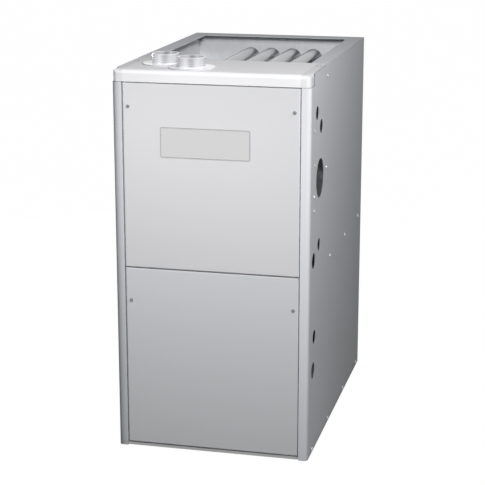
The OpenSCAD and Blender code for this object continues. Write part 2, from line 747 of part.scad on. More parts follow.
// Die-cast valve body with its inlet boss, solenoid and regulator tower.
module gas_valve() color([0.74, 0.75, 0.76]) {
  low = [valve_x - valve_w / 2, valve_front, valve_z];
  high = [valve_x + valve_w / 2, valve_front + valve_d, valve_z + valve_h];
  slab(low, high);
  slab([low[0] + 8, low[1] - 6, low[2] + 6], [low[0] + 30, low[1] + 1, high[2] - 8]);
  translate([high[0] - 1, valve_front + 18.6, valve_z + valve_h / 2 + 0.75]) rotate([0, 90, 0])
    difference() {
      cylinder(r = 15, h = gas_inlet_l + 1, $fn = 6);
      translate([0, 0, 1]) cylinder(r = gas_inlet_r, h = gas_inlet_l + 1);
    }
  translate([valve_x + 16, valve_front + valve_d / 2, high[2] - 1]) cylinder(r = 7, h = 9);
  translate([valve_x, manifold_y, high[2] - 1]) difference() {
    cylinder(r = manifold_r + 3.5, h = 12);
    translate([0, 0, 1]) cylinder(r = manifold_r * 0.9 + 0.1, h = 12);
  }
}

knob_at = [valve_x + valve_w / 4, valve_front, valve_z + valve_h / 2];

// Ribbed on-off knob with a grip bar.
module gas_valve_knob() color([0.12, 0.2, 0.4])
  translate([knob_at[0], knob_at[1] - 0.3, knob_at[2]]) rotate([90, 0, 0]) {
    difference() {
      cylinder(r = knob_r, h = 7);
      for (i = [0 : 11]) rotate(i * 30) translate([knob_r + 0.6, 0, -1])
        cylinder(r = 1.5, h = 9, $fn = 16);
    }
    translate([-knob_r * 0.8, -2.5, 0]) cube([knob_r * 1.6, 5, 12]);
  }

// Ceramic block and glow bar in the box's right side.
module ignitor() color([0.9, 0.88, 0.82]) {
  x = tubes_right + box_half;
  y = panel_front - 34;
  slab([x, y - 14, tube_z - 16], [x + 2, y + 14, tube_z + 12]);
  slab([x + 2, y - 7, tube_z - 9], [x + 22, y + 7, tube_z + 5]);
}

// Sensing rod with its porcelain and bracket in the box's left side.
module flame_sensor() color([0.92, 0.92, 0.9]) {
  x = tubes_right - box_half;
  y = panel_front - 34;
  slab([x - 2, y - 12, tube_z - 14], [x, y + 12, tube_z + 10]);
  translate([x - 24, y, tube_z - 2]) rotate([0, 90, 0]) cylinder(r = 5, h = 22.1);
  translate([x - 32, y, tube_z - 2]) rotate([0, 90, 0]) cylinder(r = 1.6, h = 8.1);
}

switch_y = box_front - sheet_t;
switch_dx = box_half + 3;
rollout_z = box_z[1] - 10;

// A snap-disc cup with a neck for its button.
module snap_disc() rotate([90, 0, 0]) difference() {
  union() {
    cylinder(r = 8.6, h = 6);
    cylinder(r = 4.6, h = 10);
    translate([-11, -3, 0]) cube([22, 6, 1]);
  }
  translate([0, 0, 5]) cylinder(r = 2.6 + fit_gap, h = 6);
}

// Rollout switches at both sides of the burner box.
module rollout_switches() color(dark_plastic)
  for (s = [-1, 1]) translate([tubes_right + s * switch_dx, switch_y, rollout_z]) snap_disc();

// A reset button standing in a switch's neck.
module reset_button(s) color([0.75, 0.12, 0.1])
  translate([tubes_right + s * switch_dx, switch_y - 5 - reset_travel - fit_gap, rollout_z])
    rotate([90, 0, 0]) {
      cylinder(r = 2.6, h = 6);
      translate([0, 0, 5]) cylinder(r = 3.6, h = 2);
    }

// Button of the left rollout switch.
module rollout_reset_left() reset_button(-1);

// Button of the right rollout switch.
module rollout_reset_right() reset_button(1);

// High limit switch on the wall below the burners.
module limit_switch() color(dark_plastic)
  translate([tubes_right, panel_front, (box_z[0] - 14 + header_z[1]) / 2]) {
    rotate([90, 0, 0]) cylinder(r = 12, h = 9);
    slab([-22, -1.5, -13], [22, 0, 13]);
    for (x = [-6, 6]) slab([x - 3, -18, -0.5], [x + 3, -8.9, 0.5]);
  }

// Side view of the inducer's volute, drawn inside its outline by inset.
module inducer_shape(inset)
  union() {
    circle(inducer_r - inset);
    translate([-inducer_r + inset, 0])
      square([2 * stub_r + 4 - 2 * inset, inducer_r + 4 - inset]);
  }

// Volute of the inducer with its outlet neck, its ears and its pressure tap.
module inducer_housing() color(dark_plastic) {
  difference() {
    translate([inducer_x, inducer_front, inducer_z]) along_y(inducer_d - fit_gap) inducer_shape(0);
    translate([inducer_x, inducer_front + 3, inducer_z]) along_y(inducer_d - 6 - fit_gap)
      circle(inducer_wheel_r + 8);
    translate([inducer_x, inducer_front - 1, inducer_z]) rotate([-90, 0, 0]) cylinder(r = 5, h = 6);
  }
  translate([vent_at[0], vent_at[1], inducer_z + inducer_r - 6]) difference() {
    cylinder(r = tail_r, h = inducer_outlet_z - inducer_z - inducer_r + 6);
    translate([0, 0, 10]) cylinder(r = stub_bore_r, h = 60);
  }
  for (a = [20, 130, 250, 320])
    translate([inducer_x, inducer_front, inducer_z]) rotate([0, a, 0])
      translate([inducer_r + 4, 0, 0]) rotate([-90, 0, 0]) cylinder(r = 8, h = 8);
  translate([hose_x, pressure_y, inducer_z + inducer_r * 0.8 - 8]) cylinder(r = 3, h = 20);
}

// Radial blades on a disc, with a hub for the motor's shaft.
module inducer_wheel() color(aluminised)
  translate([inducer_x, inducer_front + 7, inducer_z]) {
    rotate([-90, 0, 0]) {
      cylinder(r = inducer_wheel_r, h = 1.5);
      for (i = [0 : 11]) rotate(i * 30) translate([16, -0.6, 0])
        cube([inducer_wheel_r - 18, 1.2, inducer_d - 20]);
      cylinder(r = 17, h = 12);
    }
    rotate([90, 0, 0]) cylinder(r = 3.5, h = 20);
  }

// Shaded-pole motor on three posts in front of the volute.
module inducer_motor() color([0.25, 0.26, 0.28])
  translate([inducer_x, inducer_front, inducer_z]) rotate([90, 0, 0]) difference() {
    union() {
      translate([0, 0, 8]) cylinder(r = inducer_motor_r, h = inducer_motor_l - 16);
      translate([0, 0, 6]) cylinder(r = inducer_motor_r * 0.72, h = inducer_motor_l - 6);
      for (a = [30, 150, 270]) rotate(a) translate([inducer_motor_r - 3, 0, 0]) cylinder(r = 5, h = 20);
      translate([0, 0, 14]) cylinder(r = inducer_motor_r + 5, h = 12, $fn = 8);
    }
    translate([0, 0, -1]) cylinder(r = 3.5 + run_gap, h = 24);
  }

pressure_x = tubes_right + 62;
pressure_z = coil_z + 4;
pressure_y = header_front - 15;

// Round diaphragm switch on the header, with its hose nipple.
module pressure_switch() color([0.82, 0.82, 0.8]) {
  translate([pressure_x, header_front - 3, pressure_z]) rotate([90, 0, 0]) {
    cylinder(r = 36, h = 4);
    cylinder(r = 30, h = 20);
    cylinder(r = 14, h = 26);
  }
  translate([pressure_x, pressure_y, pressure_z + 28]) cylinder(r = 3, h = 18);
}

hose_r = 5;
hose_wall = 1.8;
hose_bend = 18;
hose_x = inducer_x + inducer_r * 0.6;
hose_top = pressure_z + 38;
hose_run_z = inducer_z + inducer_r + 14;

// A quarter bend of hose in the XZ plane, turned by its angle.
module hose_elbow(turn) rotate([90, 0, 0]) rotate(turn) rotate_extrude(angle = 90)
  translate([hose_bend, 0]) difference() {
    circle(hose_r, $fn = 24);
    circle(hose_r - hose_wall, $fn = 24);
  }

// Rubber hose from the switch's nipple over to the inducer's tap.
module pressure_hose() color([0.1, 0.1, 0.1]) translate([0, pressure_y, 0]) {
  tap_z = inducer_z + inducer_r * 0.8 + 4;
  bend_z = hose_run_z - hose_bend;
  translate([pressure_x, 0, hose_top]) pipe(hose_r, hose_wall, bend_z - hose_top);
  translate([hose_x, 0, tap_z]) pipe(hose_r, hose_wall, bend_z - tap_z);
  translate([pressure_x - hose_bend, 0, bend_z]) hose_elbow(0);
  translate([hose_x + hose_bend, 0, bend_z]) hose_elbow(90);
  translate([hose_x + hose_bend, 0, hose_run_z]) rotate([0, 90, 0])
    pipe(hose_r, hose_wall, pressure_x - hose_x - 2 * hose_bend);
}

trap_x = -vent_left - 10;
trap_room = header_z[0] - deck_top;
trap_low = deck_top + 0.1892 * trap_room;
trap_top = header_z[0] - 0.2236 * trap_room;

// Moulded condensate trap hung on the vestibule panel.
module condensate_trap() color([0.88, 0.88, 0.87]) {
  slab([trap_x - 26, panel_front - 46, trap_low], [trap_x + 34, panel_front - 12, trap_top]);
  slab([trap_x - 30, panel_front - 14, trap_low + 8], [trap_x + 38, panel_front - fit_gap, trap_top - 12]);
  translate([trap_x, panel_front - 29, trap_top - 1]) cylinder(r = 6, h = 10);
  translate([trap_x + 33, panel_front - 29, trap_low + 18]) rotate([0, 90, 0]) pipe(9.5, 2, 26);
}

// Short hose from the header down to the trap.
module drain_hose() color([0.12, 0.12, 0.12])
  translate([trap_x, panel_front - 29, trap_top + fit_gap])
    pipe(9, 2.6, header_z[0] - trap_top - 2 * fit_gap);

// Side view of the scroll, drawn inside its outline by inset; top is its upper end.
module scroll_outline(inset, top) {
  c = scroll_c;
  union() {
    intersection() {
      translate([-c, -c]) circle(scroll_r1 - inset, $fn = 96);
      translate([-c - scroll_r1, -c]) square([scroll_r1 + 0.01, scroll_r1]);
    }
    intersection() {
      translate([c, -c]) circle(scroll_r2 - inset, $fn = 96);
      translate([c - scroll_r2, -c - scroll_r2]) square([scroll_r2 + 0.01, scroll_r2 + 0.01]);
    }
    intersection() {
      translate([c, c]) circle(scroll_r3 - inset, $fn = 96);
      translate([c, c - scroll_r3]) square([scroll_r3, scroll_r3 + 0.01]);
    }
    translate([cut_y + inset, -c - 0.01]) square([scroll_back - 2 * inset - cut_y, top + c]);
  }
}

// Flared inlet ring in one side plate.
module inlet_ring() rotate_extrude() polygon([
  [inlet_r + bell + 0.5, 0], [inlet_r + 4, 3], [inlet_r, bell], [inlet_r + sheet_t, bell],
  [inlet_r + 5, 3 + sheet_t], [inlet_r + bell + 0.5, sheet_t]]);

// Scroll with side plates, inlet rings and hanging flanges.
module blower_housing() color(galvanised) translate([0, blower_at[0], blower_at[1]]) {
  half = scroll_w / 2;
  along_x(scroll_w - 2 * sheet_t) difference() {
    scroll_outline(0, scroll_top);
    scroll_outline(sheet_t, scroll_top + 5);
  }
  for (s = [-1, 1]) {
    translate([s * (half - sheet_t / 2), 0, 0]) along_x(sheet_t) difference() {
      scroll_outline(0, scroll_top);
      circle(inlet_r + bell, $fn = 96);
    }
    translate([s * half, 0, 0]) rotate([0, -s * 90, 0]) inlet_ring();
    translate([s < 0 ? -half - 14 : half - 0.01, cut_y, scroll_top - sheet_t])
      cube([14.01, scroll_back - cut_y, sheet_t]);
  }
}

// Two folded rails under the deck that the blower's flanges slide in.
module blower_rails() color(galvanised)
  for (s = [-1, 1]) {
    x = s * (scroll_w / 2 + 14 + fit_gap);
    y0 = bracket_front + 24;
    y1 = blower_at[0] + scroll_back;
    low = deck_top - 3 * sheet_t - 2 * fit_gap;
    translate([s < 0 ? x - sheet_t : x, y0, low - sheet_t]) cube([sheet_t, y1 - y0, deck_top - low]);
    translate([s < 0 ? x - sheet_t : x - 9, y0, low - sheet_t]) cube([9 + sheet_t, y1 - y0, sheet_t]);
    translate([s < 0 ? x - 14 : x, y0, deck_top - 2 * sheet_t]) cube([14, y1 - y0, sheet_t]);
  }

// Plan of the curved blades, seen along the shaft.
module blade_plan() {
  mid = wheel_r - blade_chord / 2;
  curve = blade_chord * 0.75;
  intersection() {
    difference() { circle(wheel_r - 1, $fn = 96); circle(wheel_r - blade_chord, $fn = 96); }
    union() for (i = [0 : blade_count - 1]) rotate(i * 360 / blade_count) intersection() {
      translate([mid, -curve]) difference() { circle(curve, $fn = 32); circle(curve - blade_t, $fn = 32); }
      translate([mid - blade_chord, -curve * 0.6]) square([2 * blade_chord, curve]);
    }
  }
}

// Double-inlet wheel: centre disc, hub, end rings and curved blades.
module blower_wheel() color(galvanised) translate([0, blower_at[0], blower_at[1]]) {
  along_x(wheel_w) blade_plan();
  along_x(1.6) difference() { circle(wheel_r, $fn = 96); circle(shaft_r + 0.02); }
  for (s = [-1, 1]) translate([s * (wheel_w / 2 - 3), 0, 0]) along_x(6)
    difference() { circle(wheel_r + 1, $fn = 96); circle(wheel_r - 6, $fn = 96); }
  along_x(hub_w) difference() { circle(20); circle(shaft_r + 0.02); }
}

// Shaft from the motor through the wheel's hub.
module blower_shaft() color([0.72, 0.72, 0.74])
  translate([-hub_w / 2 - 6, blower_at[0], blower_at[1]]) rotate([0, 90, 0])
    cylinder(r = shaft_r, h = motor_x + hub_w / 2 + 6 + 40);

// Motor with end bells and a bearing bore.
module blower_motor() color([0.2, 0.21, 0.23])
  translate([motor_x, blower_at[0], blower_at[1]]) rotate([0, 90, 0]) difference() {
    rotate_extrude() polygon([
      [0, 0], [18, 0], [22, 4], [motor_r - 10, 8], [motor_r - 4, 12], [motor_r, 16],
      [motor_r, motor_l - 16], [motor_r - 4, motor_l - 12], [motor_r - 10, motor_l - 8],
      [22, motor_l - 4], [18, motor_l], [0, motor_l]]);
    translate([0, 0, -1]) cylinder(r = shaft_r + run_gap, h = 43);
    for (i = [0 : 7]) rotate(i * 45) translate([motor_r * 0.62, 0, motor_l - 14]) cylinder(r = 6, h = 20);
  }

// Belly band with three arms that bolt to the scroll's right plate.
module motor_mount() color([0.45, 0.46, 0.48]) translate([scroll_w / 2, blower_at[0], blower_at[1]]) {
  translate([-8, 0, 0]) rotate([0, 90, 0]) pipe(motor_r + 2.8, 2.5, 20);
  for (a = [90, 210, 330]) rotate([a, 0, 0]) {
    slab([fit_gap, motor_r + 1.5, -9], [fit_gap + 3, inlet_r + bell + 22, 9]);
    translate([fit_gap + 3, inlet_r + bell + 14, 0]) rotate([0, 90, 0]) cylinder(r = 5, h = 4, $fn = 6);
  }
}

// Start capacitor strapped to the scroll's right plate.
module run_capacitor() color([0.78, 0.79, 0.8]) {
  x = scroll_w / 2 + fit_gap;
  y = blower_at[0] + scroll_back - 48;
  z = deck_top - 109.2;
  slab([x, y - 26, z - 8], [x + 1.2, y + 26, z + 42]);
  translate([x + 1.2 + 21, y, z]) difference() {
    union() {
      cylinder(r = 21, h = 60);
      for (d = [-7, 7]) translate([d, 0, 59]) cylinder(r = 2.5, h = 9);
    }
    translate([0, 0, 59]) difference() { cylinder(r = 22, h = 2); cylinder(r = 19, h = 2); }
  }
}

// Tray under the deck that carries the board and the transformer.
module control_bracket() color(galvanised) {
  half = board_w / 2 + 50;
  high = deck_top - sheet_t - fit_gap;
  slab([-half, bracket_front, board_z - 12], [half, bracket_front + sheet_t, high]);
  slab([-half, bracket_front, high - sheet_t], [half, bracket_front + 22, high]);
  slab([-half, bracket_front - 8, board_z - 12], [half, bracket_front, board_z - 12 + sheet_t]);
}

// Circuit board with relays, terminals, plugs and fuse.
module control_board() color([0.1, 0.32, 0.18]) {
  x = -board_w / 2 - 36;
  y = bracket_front - 8;
  translate([x, y, board_z]) {
    difference() {
      cube([board_w, 1.6, board_h]);
      for (dx = [6, board_w - 6], dz = [6, board_h - 6])
        translate([dx, -1, dz]) rotate([-90, 0, 0]) cylinder(r = 2, h = 4);
    }
    for (dx = [12, board_w - 12], dz = [12, board_h - 12])
      translate([dx, 1.5, dz]) rotate([-90, 0, 0]) cylinder(r = 3, h = 6.5);
    for (i = [0 : 3]) translate([16 + i * 28, -15, board_h - 34]) cube([20, 15.1, 26]);
    for (i = [0 : 4]) translate([20 + i * 15, -9, 6]) cube([12, 9.1, 12]);
    translate([board_w - 56, -12, 30]) cube([44, 12.1, 12]);
    translate([20, -7, 40]) cube([26, 7.1, 26]);
    for (i = [0 : 2]) translate([64 + i * 16, 0, 52]) rotate([90, 0, 0]) cylinder(r = 5, h = 12);
  }
}

// Laminated transformer with its bobbin and feet.
module transformer() color([0.3, 0.31, 0.33]) {
  x = board_w / 2 - 16;
  y = bracket_front;
  z = board_z + 12;
  slab([x, y - 44, z], [x + 52, y, z + 18]);
  slab([x, y - 44, z + 48], [x + 52, y, z + 66]);
  slab([x, y - 12, z], [x + 52, y, z + 66]);
  slab([x, y - 44, z], [x + 52, y - 34, z + 66]);
  slab([x - 5, y - 36, z + 17], [x + 57, y - 10, z + 49]);
  slab([x - 6, y - 2, z - 8], [x + 58, y, z + 74]);
}

switch_z = deck_top - deck_flange - 12;

// Interlock switch hung behind the deck's front edge.
module door_switch() color(dark_plastic) difference() {
  behind = deck_front + sheet_t;
  union() {
    slab([switch_x - 14, behind, switch_z - 14], [switch_x + 14, behind + 26, switch_z + 12]);
    slab([switch_x - 18, behind, switch_z - 10], [switch_x + 18, behind + 2, deck_top - sheet_t]);
    translate([switch_x, behind + 1, switch_z]) rotate([90, 0, 0]) cylinder(r = 7, h = 5);
  }
  translate([switch_x, deck_front + 20, switch_z]) rotate([90, 0, 0]) cylinder(r = 4 + fit_gap, h = 40);
}

// Plunger that the closed lower door holds in.
module door_switch_plunger() color([0.85, 0.85, 0.84])
  translate([switch_x, deck_front + 18, switch_z]) rotate([90, 0, 0])
    cylinder(r = 4, h = 18 + deck_front - front - door_t - liner_door_t - fit_gap);

// Line voltage box inside the right wall, with an open entry.
module junction_box() color(galvanised) {
  low = [inner_x - 46, front + hole_line[0] - 32, hole_line[1] - 36];
  high = [inner_x - fit_gap, front + hole_line[0] + 36, hole_line[1] + 36];
  difference() {
    slab(low, high);
    slab(low + [sheet_t, sheet_t, sheet_t], [high[0] + 1, high[1] - sheet_t, high[2] - sheet_t]);
  }
  for (dz = [-28, 28])
    translate([low[0] + 0.01, front + hole_line[0] + 2, hole_line[1] + dz])
      rotate([0, -90, 0]) cylinder(r = 3.5, h = 2);
}

casing();
base_pan();
blower_deck();
vestibule_panel();
top_cap();
upper_door();
lower_door();
blank_plate();
upper_door_screws();
lower_door_screws();
lower_door_liner();
casing_screws();
cap_screws();
foil_liner();
vent_stub();
intake_stub();
vent_pipe();
vent_couplings();
heat_tube(0);  // heat_tube_1
heat_tube(1);  // heat_tube_2
heat_tube(2);  // heat_tube_3
heat_tube(3);  // heat_tube_4
collector_box();
coil_tubes();
coil_fins();
coil_header();
burner_box();
burners();
gas_manifold();
gas_orifices();
gas_valve();
gas_valve_knob();
ignitor();
flame_sensor();
rollout_switches();
rollout_reset_left();
rollout_reset_right();
limit_switch();
inducer_housing();
inducer_wheel();
inducer_motor();
pressure_switch();
pressure_hose();
condensate_trap();
drain_hose();
blower_housing();
blower_rails();
blower_wheel();
blower_shaft();
blower_motor();
motor_mount();
run_capacitor();
control_bracket();
control_board();
transformer();
door_switch();
door_switch_plunger();
junction_box();
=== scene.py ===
"""Looks of a forced air gas furnace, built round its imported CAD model.

Lengths are metres in the CAD frame: the origin is the middle of the footprint, +Z is up and the doors
face -Y. Each sub-assembly is a class that dresses its CAD nodes and models its own small pieces.
"""

import logging
import math
from collections.abc import Callable, Iterator, Sequence
from contextlib import contextmanager
from dataclasses import dataclass, field
from enum import Enum

import bpy
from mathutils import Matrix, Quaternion, Vector


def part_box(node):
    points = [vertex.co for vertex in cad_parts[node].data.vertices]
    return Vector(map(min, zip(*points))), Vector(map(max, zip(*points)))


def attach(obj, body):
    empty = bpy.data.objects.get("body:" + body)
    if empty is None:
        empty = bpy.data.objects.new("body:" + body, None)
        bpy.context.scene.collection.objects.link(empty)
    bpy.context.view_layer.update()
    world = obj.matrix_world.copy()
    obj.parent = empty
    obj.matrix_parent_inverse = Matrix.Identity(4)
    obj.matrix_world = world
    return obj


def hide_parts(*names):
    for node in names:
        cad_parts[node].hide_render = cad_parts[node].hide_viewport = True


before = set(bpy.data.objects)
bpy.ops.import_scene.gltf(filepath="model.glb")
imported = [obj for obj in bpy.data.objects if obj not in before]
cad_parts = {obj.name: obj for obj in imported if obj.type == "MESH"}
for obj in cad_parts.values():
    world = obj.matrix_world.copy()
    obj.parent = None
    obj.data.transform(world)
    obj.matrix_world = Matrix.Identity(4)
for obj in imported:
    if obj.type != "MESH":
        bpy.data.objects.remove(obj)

log = logging.getLogger("furnace")

Pair = tuple[float, float]
Point = tuple[float, float, float]
Colour = tuple[float, float, float]
Test = Callable[[Vector, Vector], bool]

UP: Point = (0.0, 0.0, 1.0)
DOWN: Point = (0.0, 0.0, -1.0)
FORWARD: Point = (0.0, -1.0, 0.0)
REAR: Point = (0.0, 1.0, 0.0)
LEFT: Point = (-1.0, 0.0, 0.0)
RIGHT: Point = (1.0, 0.0, 0.0)
SIDES = (-1.0, 1.0)

SHARP = 35.0  # Degrees that the faces at an edge turn by where the edge counts as sharp.
ALIKE = 0.99  # Cosine from which two directions count as the same.


class Body(Enum):
    """The bodies that pieces ride on."""

    CABINET = "cabinet"
    UPPER_DOOR = "upper_door"
    LOWER_DOOR = "lower_door"
    INDUCER_WHEEL = "inducer_wheel"


class Pick(Enum):
    """What an edit selects."""

    FACE = "FACE"
    EDGE = "EDGE"


class Grain(Enum):
    """The way a drawn or rolled metal's streaks run."""

    ACROSS = (4.0, 260.0, 260.0)
    DEEP = (260.0, 4.0, 260.0)
    UPRIGHT = (260.0, 260.0, 4.0)


def shown(red: float, green: float, blue: float) -> Colour:
    """Returns the light of a colour given as it shows on a screen.

    Args:
        red: Its red, from 0 to 255.
        green: Its green.
        blue: Its blue.

    Returns:
        The light of each, from 0 to 1.
    """
    return tuple(
        (c / 255 / 12.92) if c <= 10 else ((c / 255 + 0.055) / 1.055) ** 2.4
        for c in (red, green, blue)
    )


# Materials


class Flow:
    """A value running through a material's nodes, with ordinary arithmetic."""

    def __init__(self, tree: bpy.types.NodeTree, socket: bpy.types.NodeSocket) -> None:
        """Holds one output socket of a tree."""
        self.tree = tree
        self.socket = socket

    def maths(self, operation: str, *terms: "Flow | float") -> "Flow":
        """Adds one Math node.

        Args:
            operation: The Math node's operation.
            *terms: Its inputs in order, flows or numbers.

        Returns:
            The node's result.
        """
        node = self.tree.nodes.new("ShaderNodeMath")
        node.operation = operation
        for slot, term in zip(node.inputs, terms):
            if isinstance(term, Flow):
                self.tree.links.new(term.socket, slot)
            else:
                slot.default_value = term
        return Flow(self.tree, node.outputs[0])

    def __add__(self, other: "Flow | float") -> "Flow":
        """Returns the sum."""
        return self.maths("ADD", self, other)

    def __radd__(self, other: float) -> "Flow":
        """Returns the sum with a number in front."""
        return self.maths("ADD", other, self)

    def __sub__(self, other: "Flow | float") -> "Flow":
        """Returns the difference."""
        return self.maths("SUBTRACT", self, other)

    def __rsub__(self, other: float) -> "Flow":
        """Returns a number less this flow."""
        return self.maths("SUBTRACT", other, self)

    def __mul__(self, other: "Flow | float") -> "Flow":
        """Returns the product."""
        return self.maths("MULTIPLY", self, other)

    def __rmul__(self, other: float) -> "Flow":
        """Returns the product with a number in front."""
        return self.maths("MULTIPLY", other, self)

    def __truediv__(self, other: "Flow | float") -> "Flow":
        """Returns the quotient."""
        return self.maths("DIVIDE", self, other)

    def __rtruediv__(self, other: float) -> "Flow":
        """Returns a number divided by this flow."""
        return self.maths("DIVIDE", other, self)

    def __pow__(self, other: float) -> "Flow":
        """Returns the power."""
        return self.maths("POWER", self, other)

    def __rpow__(self, other: float) -> "Flow":
        """Returns a number raised to this flow."""
        return self.maths("POWER", other, self)

    def __abs__(self) -> "Flow":
        """Returns the size without its sign."""
        return self.maths("ABSOLUTE", self)

    def least(self, other: "Flow | float") -> "Flow":
        """Returns the smaller of two."""
        return self.maths("MINIMUM", self, other)

    def most(self, other: "Flow | float") -> "Flow":
        """Returns the larger of two."""
        return self.maths("MAXIMUM", self, other)

    def fraction(self) -> "Flow":
        """Returns what is left over the whole number."""
        return self.maths("FRACT", self)

    def swing(self, amount: float) -> "Flow":
        """Returns a pattern from 0 to 1 as one that swings about 0, its two ends an amount apart."""
        return (self - 0.5) * amount

    def saw(self) -> "Flow":
        """Returns the distance from the middle between two whole numbers, from 0 to 0.5."""
        return abs(self.fraction() - 0.5)

    def ramp(self, low: float, high: float) -> "Flow":
        """Returns a smooth step from 0 at low to 1 at high.

        Args:
            low: The value where it starts.
            high: The value where it ends.

        Returns:
            The step.
        """
        node = self.tree.nodes.new("ShaderNodeMapRange")
        node.interpolation_type = "SMOOTHSTEP"
        self.tree.links.new(self.socket, node.inputs["Value"])
        node.inputs["From Min"].default_value = low
        node.inputs["From Max"].default_value = high
        return Flow(self.tree, node.outputs["Result"])

    def fall(self, low: float, high: float) -> "Flow":
        """Returns a smooth step from 1 at low to 0 at high."""
        return 1.0 - self.ramp(low, high)


class Recipe:
    """One material in the making: its shader, and the place on the piece that patterns read."""

    def __init__(self, name: str) -> None:
        """Starts a material with a bare shader.

        Args:
            name: The material's name.
        """
        self.material = bpy.data.materials.new(name)
        self.material.use_nodes = True
        self.tree = self.material.node_tree
        self.tree.nodes.clear()
        self.shader = self.node("ShaderNodeBsdfPrincipled")
        surface = self.node("ShaderNodeOutputMaterial").inputs["Surface"]
        self.tree.links.new(self.shader.outputs["BSDF"], surface)
        self.coordinates = self.node("ShaderNodeTexCoord")
        self.place = Flow(self.tree, self.coordinates.outputs["Object"])
        self.normal: Flow | None = None

    def node(
        self, kind: str, inputs: dict[str, object] | None = None, **settings: object
    ) -> bpy.types.Node:
        """Adds any node.

        Args:
            kind: The node's type name.
            inputs: Values or flows by input name.
            **settings: The node's own settings.

        Returns:
            The new node.
        """
        made = self.tree.nodes.new(kind)
        for key, value in settings.items():
            setattr(made, key, value)
        for key, value in (inputs or {}).items():
            if isinstance(value, Flow):
                self.tree.links.new(value.socket, made.inputs[key])
            else:
                made.inputs[key].default_value = value
        return made

    def axes(self, vector: Flow | None = None) -> tuple[Flow, Flow, Flow]:
        """Returns the three coordinates of a vector, or else of the place.

        Args:
            vector: The vector.

        Returns:
            Its coordinates along X, Y and Z.
        """
        split = self.node("ShaderNodeSeparateXYZ", {"Vector": vector or self.place})
        x, y, z = (Flow(self.tree, out) for out in split.outputs)
        return x, y, z

    def facing(self) -> tuple[Flow, Flow, Flow]:
        """Returns the three coordinates of the direction that the piece's surface faces."""
        return self.axes(Flow(self.tree, self.coordinates.outputs["Normal"]))

    def stretched(self, scale: Point, shift: float = 0.0) -> Flow:
        """Returns the place scaled along each axis and shifted along all."""
        inputs = {"Vector": self.place, "Scale": scale, "Location": (shift, shift, shift)}
        return Flow(self.tree, self.node("ShaderNodeMapping", inputs).outputs["Vector"])

    def noise(self, scale: float, detail: float = 2.0, place: Flow | None = None) -> Flow:
        """Returns a cloudy pattern from 0 to 1."""
        inputs = {"Vector": place or self.place, "Scale": scale, "Detail": detail}
        return Flow(self.tree, self.node("ShaderNodeTexNoise", inputs).outputs["Fac"])

    def cells(self, scale: float, output: str = "Distance") -> Flow:
        """Returns a pattern of cells: the distance to each one's middle, or its own colour."""
        inputs = {"Vector": self.place, "Scale": scale}
        return Flow(self.tree, self.node("ShaderNodeTexVoronoi", inputs).outputs[output])

    def tint(self, colour: Colour, strength: Flow) -> Flow:
        """Returns a colour multiplied by a varying strength.

        Args:
            colour: The colour.
            strength: What it is multiplied by.

        Returns:
            The varying colour.
        """
        node = self.node("ShaderNodeVectorMath", operation="SCALE")
        node.inputs[0].default_value = colour
        self.tree.links.new(strength.socket, node.inputs["Scale"])
        return Flow(self.tree, node.outputs["Vector"])

    def blend(self, share: Flow, first: Flow | Colour, second: Flow | Colour) -> Flow:
        """Returns the first colour where share is 0 and the second where it is 1.

        Args:
            share: The share of the second one.
            first: The first colour.
            second: The second colour.

        Returns:
            The mixed colour.
        """
        node = self.node("ShaderNodeMix", data_type="RGBA")
        self.tree.links.new(share.socket, node.inputs[0])
        for slot, value in ((node.inputs[6], first), (node.inputs[7], second)):
            if isinstance(value, Flow):
                self.tree.links.new(value.socket, slot)
            else:
                slot.default_value = (*value, 1.0)
        return Flow(self.tree, node.outputs[2])

    def feed(self, name: str, value: Flow | float) -> None:
        """Sets or links one of the shader's inputs.

        Args:
            name: The input's name.
            value: What it gets.
        """
        slot = self.shader.inputs[name]
        if isinstance(value, Flow):
            self.tree.links.new(value.socket, slot)
        else:
            slot.default_value = value

    def skin(
        self,
        base: Flow,
        roughness: Flow | float,
        metallic: Flow | float = 0.0,
        specular: float = 0.5,
        coat: float = 0.0,
    ) -> None:
        """Feeds the shader.

        Args:
            base: The surface's colour.
            roughness: Its roughness.
            metallic: How much of it is bare metal.
            specular: The strength of its sheen.
            coat: The weight of a clear coat.
        """
        self.feed("Base Color", base)
        self.feed("Roughness", roughness)
        self.feed("Metallic", metallic)
        self.feed("Specular IOR Level", specular)
        self.feed("Coat Weight", coat)

    def bump(self, height: Flow, depth: float, strength: float = 1.0) -> None:
        """Raises the surface by a pattern, on top of the bumps made before.

        Args:
            height: The pattern, from 0 to 1.
            depth: Its height in metres.
            strength: How much of it shows.
        """
        inputs: dict[str, object] = {"Height": height, "Distance": depth, "Strength": strength}
        if self.normal is not None:
            inputs["Normal"] = self.normal
        self.normal = Flow(self.tree, self.node("ShaderNodeBump", inputs).outputs["Normal"])
        self.feed("Normal", self.normal)

    def peel(self, depth: float = 0.00012, place: Flow | None = None) -> None:
        """Raises the fine orange peel of baked paint."""
        self.bump(self.noise(420.0, 1.0, place), depth, 0.5)


@dataclass(frozen=True)
class Finish:
    """A finish that can be laid on pieces.

    Attributes:
        colour: Its main colour.
    """

    colour: Colour

    def lay(self, recipe: Recipe) -> None:
        """Fills in the recipe; each finish has its own."""
        raise NotImplementedError

    def material(self, name: str) -> bpy.types.Material:
        """Returns the finish as a new material of that name.

        Args:
            name: The material's name.

        Returns:
            The material.
        """
        recipe = Recipe(name)
        self.lay(recipe)
        return recipe.material


